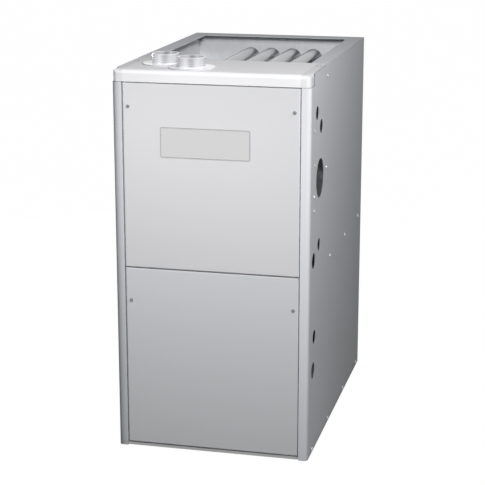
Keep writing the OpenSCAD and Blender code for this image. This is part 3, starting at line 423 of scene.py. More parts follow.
@dataclass(frozen=True)
class SatinPaint(Finish):
    """Baked powder paint with a faint orange peel and a slightly uneven tone.

    Attributes:
        roughness: Its mean roughness.
        shift: Moves the pattern, so that two panels differ.
        rim: Height of an upper edge where painted shade dims the highlight, if there is one.
    """

    roughness: float = 0.42
    shift: float = 0.0
    rim: float = 0.0

    def lay(self, recipe: Recipe) -> None:
        """Lays the cloudy tone, the speckle, the painted shade along the top edge and the peel."""
        place = recipe.stretched((1.0, 1.0, 1.0), self.shift)
        cloud = recipe.noise(3.0, 2.0, place)
        tone = 1.0 + cloud.swing(0.05) + recipe.noise(1400.0, 0.0, place).swing(0.03)
        if self.rim:
            _, _, z = recipe.axes()
            # Painted shade darkens the rounded top edge, dimming its highlight.
            tone = tone - z.ramp(self.rim - 0.003, self.rim - 0.0012) * 0.3
        roughness = self.roughness + recipe.noise(11.0, 3.0, place).swing(0.12)
        recipe.skin(recipe.tint(self.colour, tone), roughness, specular=0.22)
        recipe.peel(place=place)
        recipe.bump(cloud, 0.0006, 0.12)


@dataclass(frozen=True)
class CasingPaint(Finish):
    """Powder paint of the wraparound casing: dusty at the foot, with painted shade on top and on the
    left post, painted light on the right post, and bare cut edges darkened with painted shade in the
    holes.

    Attributes:
        height: Height of the casing.
        front: Place of its front face along Y.
        side: Half its width.
        entries: Where the entries' cut edges end, behind the front face.
    """

    height: float
    front: float
    side: float
    entries: float = 0.1856

    def lay(self, recipe: Recipe) -> None:
        """Lays the paint, the dust at the foot, the painted shade on top, the painted light and shade of
        the posts and the holes' bare edges darkened with painted shade.
        """
        x, y, z = recipe.axes()
        across, _, _ = recipe.facing()
        cloud = recipe.noise(2.4, 3.0)
        smear = recipe.noise(1.0, 3.0, recipe.stretched((30.0, 30.0, 2.0)))
        # Dust darkens and roughens the foot.
        dust_and_shade = z.fall(0.0, 0.03) * recipe.noise(60.0, 3.0) * 0.1
        # Painted shade darkens the flat top.
        top = z.ramp(self.height - 0.0012, self.height - 0.0003) * 0.2
        # Painted shade darkens the left post towards its outer edge, and painted light brightens the
        # right post.
        post = y.fall(self.front + 0.004, self.front + 0.014)
        left_post_shade = x.ramp(0.0015 - self.side, 0.022 - self.side) * 0.38 - 0.48
        right = x.ramp(-0.05, 0.05)
        painted_light = post * (right * 0.04 + (1.0 - right) * left_post_shade)
        # The holes' cut edges are darkened: a bare cut edge, with painted shade inside the hole.
        cut = abs(across).fall(0.2, 0.5) * abs(x).ramp(self.side - 0.0022, self.side - 0.0018)
        near = y.fall(self.front + self.entries, self.front + self.entries + 0.01)
        edge = cut * y.ramp(self.front + 0.014, self.front + 0.018) * near
        tone = 1.0 + cloud.swing(0.05) + smear.swing(0.025) - dust_and_shade - top + painted_light - edge * 0.62
        roughness = 0.55 + smear.swing(0.14) + dust_and_shade
        recipe.skin(recipe.tint(self.colour, tone), roughness, specular=0.01)
        recipe.peel()
        recipe.bump(cloud, 0.0008, 0.15)


@dataclass(frozen=True)
class CapPaint(Finish):
    """Near-white paint of the cap, with the fine crease of its folded corners.

    Attributes:
        crease: Distance of the two creases from the middle.
        top: Height of the cap's flat top.
    """

    crease: float
    top: float

    def lay(self, recipe: Recipe) -> None:
        """Lays the paint, the painted shade on its top, its ends and its left, and the two creases."""
        x, _, z = recipe.axes()
        crease = abs(abs(x) - self.crease).fall(0.0002, 0.0011)
        # Painted shade darkens the flat top, the rounded ends and the left side.
        flat = z.ramp(self.top - 0.007, self.top - 0.0002)
        ends = abs(x).ramp(self.crease - 0.001, self.crease + 0.002) * 0.1
        left = x.fall(-0.2, -0.06) * 0.07
        cloud = recipe.noise(4.0, 2.0).swing(0.03)
        tone = 1.0 + cloud - crease * 0.07 - flat * 0.2 - ends - left
        roughness = 0.48 + recipe.noise(12.0, 3.0).swing(0.1)
        recipe.skin(recipe.tint(self.colour, tone), roughness, specular=0.04)
        recipe.peel(0.0001)
        recipe.bump(1.0 - crease, 0.0004, 0.5)


@dataclass(frozen=True)
class PlateFilm(Finish):
    """Bare satin film, darker in a fine line along its edge.

    Attributes:
        middle: Middle of the plate across and up.
        size: Its width and height.
    """

    middle: Pair
    size: Pair

    def lay(self, recipe: Recipe) -> None:
        """Lays the film and its edge line."""
        x, _, z = recipe.axes()
        across = self.size[0] / 2 - abs(x - self.middle[0])
        upward = self.size[1] / 2 - abs(z - self.middle[1])
        inside = across.least(upward).ramp(0.0006, 0.0024)
        tone = 0.8 + inside * 0.2 + recipe.noise(9.0, 2.0).swing(0.02)
        recipe.skin(recipe.tint(self.colour, tone), 0.3 + recipe.noise(25.0, 2.0) * 0.1)
        recipe.bump(recipe.noise(900.0, 1.0), 0.00006, 0.4)


@dataclass(frozen=True)
class Spangled(Finish):
    """Hot-dipped zinc: crystals of slightly different tone and gloss.

    Attributes:
        cell: How many crystals lie along a metre.
    """

    cell: float = 90.0

    def lay(self, recipe: Recipe) -> None:
        """Lays the crystals, their borders and a rolled grain."""
        red, green, _ = recipe.axes(recipe.cells(self.cell, "Color"))
        grain = recipe.noise(1.0, 3.0, recipe.stretched((40.0, 40.0, 700.0)))
        haze = recipe.noise(6.0, 3.0)
        tone = 0.84 + red * 0.18 + grain.swing(0.1) + haze.swing(0.1)
        roughness = 0.36 + green * 0.14 + haze.swing(0.12)
        recipe.skin(recipe.tint(self.colour, tone), roughness, 0.8)
        recipe.bump(grain, 0.00005, 0.35)
        recipe.bump(recipe.cells(self.cell), 0.0001, 0.15)


@dataclass(frozen=True)
class Drawn(Finish):
    """Drawn or rolled bright metal with streaks along its length.

    Attributes:
        grain: The way the streaks run.
        roughness: Mean roughness.
        metallic: How much of it is bare metal.
    """

    grain: Grain
    roughness: float = 0.34
    metallic: float = 0.9

    def lay(self, recipe: Recipe) -> None:
        """Lays fine and broad streaks and a soft haze."""
        fine = recipe.noise(1.6, 4.0, recipe.stretched(self.grain.value))
        broad = recipe.noise(0.25, 2.0, recipe.stretched(self.grain.value, 3.0))
        haze = recipe.noise(14.0, 3.0)
        tone = 0.86 + fine * 0.16 + broad.swing(0.2) + haze.swing(0.14)
        roughness = self.roughness + fine.swing(0.18) + haze.swing(0.16)
        recipe.skin(recipe.tint(self.colour, tone), roughness, self.metallic)
        recipe.bump(fine, 0.00006, 0.4)


@dataclass(frozen=True)
class FoilBoard(Finish):
    """Foil facing over fibre board, with its reinforcing threads and small crumples.

    Attributes:
        pitch: Distance between threads.
        rear: Place of the rear wall along Y, where the rear flange's shadow is painted under the top.
        top: Height of the liner's top.
    """

    pitch: float = 0.012
    rear: float = 0.3541
    top: float = 0.8748

    def lay(self, recipe: Recipe) -> None:
        """Lays the threads as a grid, the crumples between them and the painted shadow under the rear
        flange.
        """
        x, y, z = recipe.axes()
        upright, level = ((axis / self.pitch).saw().fall(0.02, 0.07) for axis in (x + y, z))
        thread = upright.most(level)
        crumple = recipe.cells(70.0)
        soft = recipe.noise(18.0, 4.0)
        # Painted shadow of the rear flange darkens the rear wall under the top.
        flange_shadow = y.ramp(self.rear - 0.03, self.rear - 0.005) * z.ramp(self.top - 0.024, self.top - 0.008)
        tone = 0.9 + soft.swing(0.16) - thread * 0.03 + (crumple - 0.4) * 0.06 - flange_shadow * 0.38
        recipe.skin(recipe.tint(self.colour, tone), 0.55 + soft.swing(0.25), 0.12)
        recipe.bump(thread, 0.0003, 0.2)
        recipe.bump(crumple + soft, 0.001, 0.35)


@dataclass(frozen=True)
class Moulded(Finish):
    """Moulded plastic with its eroded grain and faint flow marks.

    Attributes:
        roughness: Mean roughness.
        grain: Depth of the grain in metres.
        uneven: How much the tone varies.
    """

    roughness: float = 0.5
    grain: float = 0.00012
    uneven: float = 0.12

    def lay(self, recipe: Recipe) -> None:
        """Lays the grain and the flow marks."""
        flow = recipe.noise(8.0, 3.0, recipe.stretched((1.0, 1.0, 3.0)))
        pits = recipe.cells(1300.0)
        tone = 1.0 + flow.swing(self.uneven) + pits.swing(self.uneven) * 0.4
        recipe.skin(recipe.tint(self.colour, tone), self.roughness + flow.swing(0.12))
        recipe.bump(pits, self.grain, 0.5)
        recipe.bump(flow, 0.0008, 0.1)


@dataclass(frozen=True)
class GlossPipe(Finish):
    """Glossy white pipe plastic with turning marks round its axis and a faint warm depth.

    Attributes:
        turns: Turning marks along a metre.
    """

    turns: float = 900.0

    def tone(self, recipe: Recipe) -> Flow:
        """Returns how light the plastic is."""
        return 0.97 + recipe.noise(14.0, 2.0).swing(0.05)

    def lay(self, recipe: Recipe) -> None:
        """Lays the marks, which ring the upright pipe, and a soft unevenness."""
        _, _, z = recipe.axes()
        mark = (z * self.turns + recipe.noise(30.0, 2.0) * 0.35).saw() * 2.0
        cloud = recipe.noise(14.0, 2.0)
        base = recipe.tint(self.colour, self.tone(recipe) + mark.swing(0.03))
        recipe.skin(base, 0.16 + cloud * 0.1, coat=0.5)
        recipe.bump(mark, 0.00005, 0.35)
        recipe.bump(cloud, 0.0008, 0.12)


@dataclass(frozen=True)
class StubPlastic(GlossPipe):
    """Pipe plastic of a stub, with painted light: a painted highlight on its flange and lip, painted
    reflections round its sides, and painted shade in its grooves, its bore and its flange's edge.

    Attributes:
        middle: The stub's middle in plan.
        foot: Height of its flange's foot.
        tall: Height of the stub.
        flange: Thickness of its flange.
        grooves: Number of its grip grooves.
        inner: Radius below which a surface belongs to the bore.
    """

    middle: Pair = (0.0, 0.0)
    foot: float = 0.8763
    tall: float = 0.0245
    flange: float = 0.0025
    grooves: int = 4
    inner: float = 0.028

    def painted_light(self, turned: Flow, deep: Flow) -> Flow:
        """Returns the painted light and reflections round the stub.

        Args:
            turned: How far a surface faces right of the photograph's camera.
            deep: How far it faces the rear.

        Returns:
            The lightness, least at the front where hands have been.
        """
        # Painted reflections lighten the left and right sides, and painted light lightens the rear.
        left, right = (turned * -1.0).ramp(0.02, 0.5), turned.ramp(0.0, 0.42)
        body = 0.48 + left * 0.5 + right * 0.21 - turned.ramp(0.6, 0.9) * 0.06
        return body + (0.82 - body) * deep.ramp(0.5, 0.85)

    def tone(self, recipe: Recipe) -> Flow:
        """Returns the lightness, with painted highlights on the flange and lip, painted reflections
        round the sides, and painted shade in the grooves, the bore and the flange's edge.

        Args:
            recipe: The material in the making.

        Returns:
            The lightness, from 0 to 1.
        """
        x, y, z = recipe.axes()
        across, deep, up = recipe.facing()
        body = self.painted_light(across * 0.972 + deep * 0.233, deep)
        low, high = self.foot + self.flange, self.foot + self.tall
        step = (high - low) / (self.grooves + 1)
        groove = ((z - low) / step + 0.5).saw() * step
        # Painted shade darkens the grip grooves.
        dust_and_shade = groove.fall(0.0004, 0.0011) * z.ramp(low + step * 0.5, low + step * 0.6)
        body = body - dust_and_shade * z.fall(high - step * 0.6, high - step * 0.5) * 0.08
        from_x, from_y = x - self.middle[0], y - self.middle[1]
        radius = (from_x * from_x + from_y * from_y) ** 0.5
        # Painted shade darkens the bore.
        body = body - radius.fall(self.inner - 0.0008, self.inner) * 0.12
        # Painted highlights lighten the flange and the stub's lip.
        painted_highlight = z.fall(low, low + 0.0014).most(z.ramp(high - 0.0012, high - 0.0004) * 0.35)
        # Painted shade darkens the flange's outer edge.
        rim = z.fall(low - 0.0006, low) * abs(up).fall(0.3, 0.7)
        return body + (0.95 - body) * painted_highlight - rim * 0.3 + recipe.noise(14.0, 2.0).swing(0.04)


@dataclass(frozen=True)
class Rubber(Finish):
    """Matt rubber with a bloom of talc."""

    def lay(self, recipe: Recipe) -> None:
        """Lays the bloom and the fine skin."""
        bloom = recipe.noise(40.0, 4.0).ramp(0.45, 0.8)
        skin = recipe.noise(900.0, 2.0)
        tone = 1.0 + bloom * 0.9 + skin.swing(0.3)
        recipe.skin(recipe.tint(self.colour, tone), 0.62 + bloom * 0.2)
        recipe.bump(skin, 0.0001, 0.5)


@dataclass(frozen=True)
class Cast(Finish):
    """Blasted die-cast metal.

    Attributes:
        grit: Pits along a metre.
    """

    grit: float = 1100.0

    def lay(self, recipe: Recipe) -> None:
        """Lays the pits and a duller haze in patches."""
        pits = recipe.noise(self.grit, 3.0)
        patch = recipe.noise(35.0, 3.0)
        tone = 0.9 + patch.swing(0.2) + pits.swing(0.2)
        recipe.skin(recipe.tint(self.colour, tone), 0.46 + patch.swing(0.2), 0.7)
        recipe.bump(pits, 0.00018, 0.6)


@dataclass(frozen=True)
class Enamel(Finish):
    """Dark baked enamel, pooled a little at its edges.

    Attributes:
        roughness: Mean roughness.
    """

    roughness: float = 0.32

    def lay(self, recipe: Recipe) -> None:
        """Lays the pooled colour and the wavy skin."""
        pool = recipe.noise(28.0, 2.0)
        speck = recipe.noise(700.0, 1.0)
        tone = 1.0 + pool.swing(0.4) + speck.swing(0.2)
        recipe.skin(recipe.tint(self.colour, tone), self.roughness + pool.swing(0.18), coat=0.15)
        recipe.bump(pool, 0.0005, 0.25)
        recipe.bump(speck, 0.00008, 0.4)


@dataclass(frozen=True)
class Turned(Finish):
    """Turned metal with fine tool rings round a fore-and-aft axis.

    Attributes:
        rings: Tool rings along a metre.
    """

    rings: float = 1500.0

    def lay(self, recipe: Recipe) -> None:
        """Lays the tool rings and a light tarnish."""
        _, y, _ = recipe.axes()
        ring = (y * self.rings).saw() * 2.0
        tarnish = recipe.noise(120.0, 3.0)
        tone = 0.85 + ring * 0.1 + tarnish.swing(0.25)
        recipe.skin(recipe.tint(self.colour, tone), 0.26 + tarnish * 0.16, 1.0)
        recipe.bump(ring, 0.00005, 0.4)


@dataclass(frozen=True)
class Ceramic(Finish):
    """Unglazed white ceramic with a speckled, chalky skin."""

    def lay(self, recipe: Recipe) -> None:
        """Lays specks and a sandy skin."""
        speck = recipe.cells(520.0).ramp(0.05, 0.2)
        chalk = recipe.noise(60.0, 4.0)
        tone = 0.86 + speck * 0.1 + chalk.swing(0.12)
        recipe.skin(recipe.tint(self.colour, tone), 0.78 + chalk.swing(0.2))
        recipe.bump(chalk, 0.0002, 0.4)


@dataclass(frozen=True)
class Felt(Finish):
    """Matted fibre with lighter strands."""

    def lay(self, recipe: Recipe) -> None:
        """Lays crossing strands and soft clumps."""
        first = recipe.noise(1.0, 4.0, recipe.stretched((900.0, 900.0, 120.0)))
        second = recipe.noise(1.0, 4.0, recipe.stretched((120.0, 120.0, 900.0), 5.0))
        clump = recipe.noise(45.0, 3.0)
        strand = first.most(second).ramp(0.5, 0.8)
        recipe.skin(recipe.tint(self.colour, 0.75 + strand * 0.7 + clump * 0.2), 0.92)
        recipe.bump(strand + clump, 0.0008, 0.7)


@dataclass(frozen=True)
class Laminate(Finish):
    """Solder-masked board with raised tracks and tinned pads.

    Attributes:
        track: The colour over a track.
        pad: The tin's colour.
        pitch: Distance between pads.
    """

    track: Colour
    pad: Colour
    pitch: float = 0.00508

    def lay(self, recipe: Recipe) -> None:
        """Lays the tracks, then the pads on their grid."""
        x, _, z = recipe.axes()
        inputs = {"Vector": recipe.stretched((1.0, 1.0, 1.0)), "Scale": 60.0}
        stepped = recipe.node("ShaderNodeTexVoronoi", inputs, distance="MANHATTAN")
        track = (Flow(recipe.tree, stepped.outputs["Distance"]) * 7.0).fraction()
        track = abs(track - 0.5).fall(0.14, 0.2)
        across, upward = ((axis / self.pitch).saw() for axis in (x, z))
        pad = (across * across + upward * upward).fall(0.02, 0.032)
        chosen = pad * recipe.cells(45.0).ramp(0.35, 0.4)
        base = recipe.blend(chosen, recipe.blend(track, self.colour, self.track), self.pad)
        recipe.skin(base, 0.34 + track * 0.05, chosen * 0.8)
        recipe.bump(track.most(chosen), 0.00012, 0.6)


ZINC = Spangled(shown(186, 189, 192))
ZINC_SCREW = Drawn(shown(196, 197, 199), Grain.ACROSS, 0.34, 0.55)
DARK_SCREW = Drawn(shown(150, 151, 154), Grain.UPRIGHT, 0.36, 0.7)
ALUMINISED = Drawn(shown(200, 202, 206), Grain.DEEP, 0.4, 0.72)
BRASS = Turned(shown(214, 178, 98))
TINNED_BRASS = Turned(shown(206, 196, 170))
ENAMEL = Enamel(shown(52, 54, 58))
CERAMIC = Ceramic(shown(232, 228, 216))
PIPE_PLASTIC = GlossPipe(shown(182, 182, 186))
STUB_COLOUR = shown(244, 244, 247)
BLACK_PLASTIC = Moulded(shown(42, 43, 46), 0.46)
GREY_PLASTIC = Moulded(shown(206, 207, 204), 0.44, 0.00008, 0.05)
RUBBER = Rubber(shown(38, 38, 40))
WIRE_TINTS = {
    "black": shown(34, 34, 36),
    "white": shown(222, 222, 218),
    "red": shown(170, 44, 38),
    "blue": shown(52, 82, 150),
    "yellow": shown(216, 188, 62),
    "orange": shown(208, 118, 44),
    "brown": shown(104, 66, 44),
    "green": shown(46, 120, 66),
}


def dress(node: str, finish: Finish) -> None:
    """Lays a finish on a CAD node by filling its material slots.

    Args:
        node: The CAD node's name.
        finish: The finish.
    """
    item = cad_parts[node]
    material = finish.material(f"{node}_finish")
    for slot in item.material_slots:
        slot.material = material
    if not item.material_slots:
        item.data.materials.append(material)


# Modelling


@dataclass(frozen=True)
class Place:
    """Where a copy of a piece goes.

    Attributes:
        at: The place of the piece's foot.
        facing: The direction that its top turns to.
        spin: Its turn about that direction, in degrees.
    """

    at: Point
    facing: Point = UP
    spin: float = 0.0


def spaced(low: float, high: float, count: int) -> list[float]:
    """Returns evenly spaced values from low to high."""
    return [low + (high - low) * i / (count - 1) for i in range(count)]


def on_circle(middle: Point, radius: float, degrees: float, level: Point) -> Point:
    """Returns a point of an upright circle, turned upwards from its level direction.

    Args:
        middle: The circle's middle.
        radius: Its radius.
        degrees: How far the point is turned.
        level: The direction of the turn's start.

    Returns:
        The point.
    """
    x, y, z = middle
    out = radius * math.cos(math.radians(degrees))
    return (x + level[0] * out, y + level[1] * out, z + radius * math.sin(math.radians(degrees)))


def deselect() -> None:
    """Selects nothing."""
    bpy.ops.object.select_all(action="DESELECT")


class Piece:
    """A piece being modelled; each step works on it and returns it, so that steps follow in a chain."""

    def __init__(self, item: bpy.types.Object) -> None:
        """Holds one mesh object."""
        self.item = item

    @classmethod
    def added(cls, name: str) -> "Piece":
        """Names the object just added and puts its place into its mesh.

        Args:
            name: The piece's name.

        Returns:
            The piece.
        """
        item = bpy.context.object
        item.name = name
        item.data.name = name
        bpy.ops.object.transform_apply(location=True, rotation=True, scale=True)
        return cls(item)

    @classmethod
    def cylinder(cls, name: str, radius: float, height: float, sides: int) -> "Piece":
        """Adds a cylinder that stands on the origin, to be shaped further.

        Args:
            name: The piece's name.
            radius: Its radius.
            height: Its height.
            sides: Number of sides.

        Returns:
            The piece.
        """
        deselect()
        bpy.ops.mesh.primitive_cylinder_add(
            vertices=sides, radius=radius, depth=height, location=(0.0, 0.0, height / 2)
        )
        return cls.added(name)

    @classmethod
    def turned(
        cls, name: str, radius: float, height: float, steps: Sequence[Pair], sides: int = 32
    ) -> "Piece":
        """Models a turned piece that stands on the origin.

        Args:
            name: The piece's name.
            radius: Its foot's radius.
            height: Height of its first step.
            steps: Pairs of inset and rise, worked on the top face one after another.
            sides: Number of sides.

        Returns:
            The piece.
        """
        piece = cls.cylinder(name, radius, height, sides)
        with piece.editing(lambda middle, normal: normal.z > 0.9):
            for inset, rise in steps:
                if inset:
                    bpy.ops.mesh.inset(thickness=abs(inset), use_outset=inset < 0)
                if rise:
                    bpy.ops.mesh.extrude_region_move(TRANSFORM_OT_translate={"value": (0, 0, rise)})
        return piece

    @classmethod
    def ring(cls, name: str, inner: float, outer: float, height: float, sides: int = 48) -> "Piece":
        """Models a ring that stands on the origin, by bridging its two inset ends.

        Args:
            name: The piece's name.
            inner: Radius of its bore.
            outer: Its radius.
            height: Its height.
            sides: Number of sides.

        Returns:
            The piece.
        """
        piece = cls.cylinder(name, outer, height, sides)
        with piece.editing(lambda middle, normal: abs(normal.z) > 0.9):
            bpy.ops.mesh.inset(thickness=outer - inner)
            bpy.ops.mesh.bridge_edge_loops()
        return piece

    @classmethod
    def block(cls, name: str, low: Point, high: Point) -> "Piece":
        """Adds a block between two opposite corners, to be shaped further.

        Args:
            name: The piece's name.
            low: One corner.
            high: The other.

        Returns:
            The piece.
        """
        deselect()
        middle = tuple((a + b) / 2 for a, b in zip(low, high))
        size = tuple(b - a for a, b in zip(low, high))
        bpy.ops.mesh.primitive_cube_add(size=1.0, location=middle, scale=size)
        return cls.added(name)

    @classmethod
    def wire(cls, name: str, points: Sequence[Point], radius: float) -> "Piece":
        """Lays a round wire along points that are fixed at both ends.

        Args:
            name: The piece's name.
            points: The points it follows; it passes through the first and the last.
            radius: Half its thickness.

        Returns:
            The wire as a mesh.
        """
        deselect()
        bpy.ops.curve.primitive_nurbs_path_add(location=(0.0, 0.0, 0.0))
        curve = bpy.context.object.data
        spline = curve.splines[0]
        spline.points.add(len(points) - len(spline.points))
        for knot, point in zip(spline.points, points):
            knot.co = (*point, 1.0)
        spline.order_u = 3
        spline.use_endpoint_u = True
        spline.resolution_u = 6
        curve.bevel_depth = radius
        curve.bevel_resolution = 2
        curve.use_fill_caps = True
        bpy.ops.object.convert(target="MESH")
        return cls.added(name)

    @contextmanager
    def editing(self, chosen: Test, kind: Pick = Pick.FACE) -> Iterator[None]:
        """Opens edit mode with only some faces or edges selected.

        Args:
            chosen: Says yes or no from a middle and a direction, a face's normal or an edge's way.
            kind: Whether faces or edges are selected.

        Yields:
            Nothing; the operators inside act on the selection.
        """
        self.only()
        bpy.ops.object.mode_set(mode="EDIT")
        bpy.ops.mesh.select_mode(type=kind.value)
        bpy.ops.mesh.select_all(action="DESELECT")
        bpy.ops.object.mode_set(mode="OBJECT")
        mesh = self.item.data
        if kind is Pick.FACE:
            for face in mesh.polygons:
                face.select = chosen(face.center, face.normal)
        else:
            for edge in mesh.edges:
                first, last = (mesh.vertices[i].co for i in edge.vertices)
                edge.select = chosen((first + last) / 2, (last - first).normalized())
        bpy.ops.object.mode_set(mode="EDIT")
        yield
        bpy.ops.object.mode_set(mode="OBJECT")

    def only(self) -> None:
        """Selects this piece alone and makes it the active one."""
        deselect()
        self.item.select_set(True)
        bpy.context.view_layer.objects.active = self.item

    def panel(self, facing: Point, inset: float, rise: float, past: float = -math.inf) -> "Piece":
        """Insets the faces that look one way, and raises or sinks what is inside.

        Args:
            facing: The way that they look.
            inset: Width of the margin.
            rise: How far the inside comes out.
            past: How far along that way a face must lie to count.

        Returns:
            The piece.
        """
        way = Vector(facing)
        with self.editing(lambda middle, normal: normal.dot(way) > ALIKE and middle.dot(way) > past):
            bpy.ops.mesh.inset(thickness=inset)
            bpy.ops.mesh.extrude_region_move(TRANSFORM_OT_translate={"value": tuple(way * rise)})
        return self

    def corners(self, radius: float, segments: int) -> "Piece":
        """Rounds the corners that show from the front.

        Args:
            radius: Their radius.
            segments: Number of steps in each.

        Returns:
            The piece.
        """
        with self.editing(lambda middle, way: abs(way.y) > 0.9, Pick.EDGE):
            bpy.ops.mesh.bevel(offset=radius, segments=segments)
        return self

    def soften(self, width: float, segments: int = 2) -> "Piece":
        """Rounds the piece's sharp edges.

        Args:
            width: Width of the rounding.
            segments: Number of its steps.

        Returns:
            The piece.
        """
        self.only()
        bevel = self.item.modifiers.new("edge", "BEVEL")
        bevel.width = width
        bevel.segments = segments
        bevel.limit_method = "ANGLE"
        bevel.angle_limit = math.radians(SHARP)
        bevel.harden_normals = False
        bpy.ops.object.modifier_apply(modifier=bevel.name)
        return self

    def cut(self, cutter: "Piece") -> "Piece":
        """Cuts another piece's shape out of this one, and removes that piece.

        Args:
            cutter: The other piece.

        Returns:
            The piece.
        """
        self.only()
        cut = self.item.modifiers.new("cut", "BOOLEAN")
        cut.operation = "DIFFERENCE"
        cut.solver = "EXACT"
        cut.object = cutter.item
        bpy.ops.object.modifier_apply(modifier=cut.name)
        bpy.data.objects.remove(cutter.item)
        return self

    def stand(self, place: Place) -> "Piece":
        """Stands a piece modelled at the origin at its place.

        Args:
            place: The place.

        Returns:
            The piece.
        """
        self.only()
        turn = Vector(UP).rotation_difference(Vector(place.facing))
        self.item.rotation_mode = "QUATERNION"
        self.item.rotation_quaternion = turn @ Quaternion(UP, math.radians(place.spin))
        self.item.location = place.at
        bpy.ops.object.transform_apply(location=True, rotation=True, scale=True)
        return self

    def copied(self, places: Sequence[Place]) -> "Piece":
        """Copies the piece to each place, each copy with its own mesh, and joins them.

        Args:
            places: Where the copies go.

        Returns:
            The joined piece, under the first one's name.
        """
        made = []
        for place in places[1:]:
            item = self.item.copy()
            item.data = self.item.data.copy()
            bpy.context.scene.collection.objects.link(item)
            made.append(Piece(item).stand(place))
        return self.stand(places[0]).joined(made)

    def joined(self, others: Sequence["Piece"]) -> "Piece":
        """Joins other pieces into this one.

        Args:
            others: The other pieces.

        Returns:
            The joined piece.
        """
        self.only()
        for other in others:
            other.item.select_set(True)
        if others:
            bpy.ops.object.join()
        return self

    def deliver(
        self,
        slot: str,
        finish: Finish,
        stands_for: Sequence[str] = (),
        body: Body = Body.CABINET,
        angle: float = SHARP,
    ) -> None:
        """Smooths and dresses the finished piece, and hands it to the body that it rides on.

        Args:
            slot: A material slot's name; not used.
            finish: The finish.
            stands_for: CAD nodes that it is shown in place of.
            body: The body it rides on.
            angle: Edges sharper than this stay sharp, in degrees.
        """
        self.only()
        bpy.ops.object.shade_smooth_by_angle(angle=math.radians(angle))
        self.item.data.materials.clear()
        self.item.data.materials.append(finish.material(f"{self.item.name}_finish"))
        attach(self.item, body.value)
        if stands_for:
            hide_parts(*stands_for)
        log.info("%s rides on %s", self.item.name, body.value)


# Studio


@dataclass(frozen=True)
class Lamp:
    """A square soft lamp.

    Attributes:
        name: Its name.
        at: Its place.
        aim: The point it looks at.
        size: Its side.
        watts: Its power.
    """

    name: str
    at: Point
    aim: Point
    size: float
    watts: float

    def hang(self) -> None:
        """Adds the lamp to the scene."""
        deselect()
        bpy.ops.object.light_add(type="AREA", location=self.at)
        lamp = bpy.context.object
        lamp.name = self.name
        lamp.data.size = self.size
        lamp.data.energy = self.watts
        lamp.rotation_mode = "QUATERNION"
        lamp.rotation_quaternion = (Vector(self.aim) - Vector(self.at)).to_track_quat("-Z", "Y")
        lamp.visible_camera = False


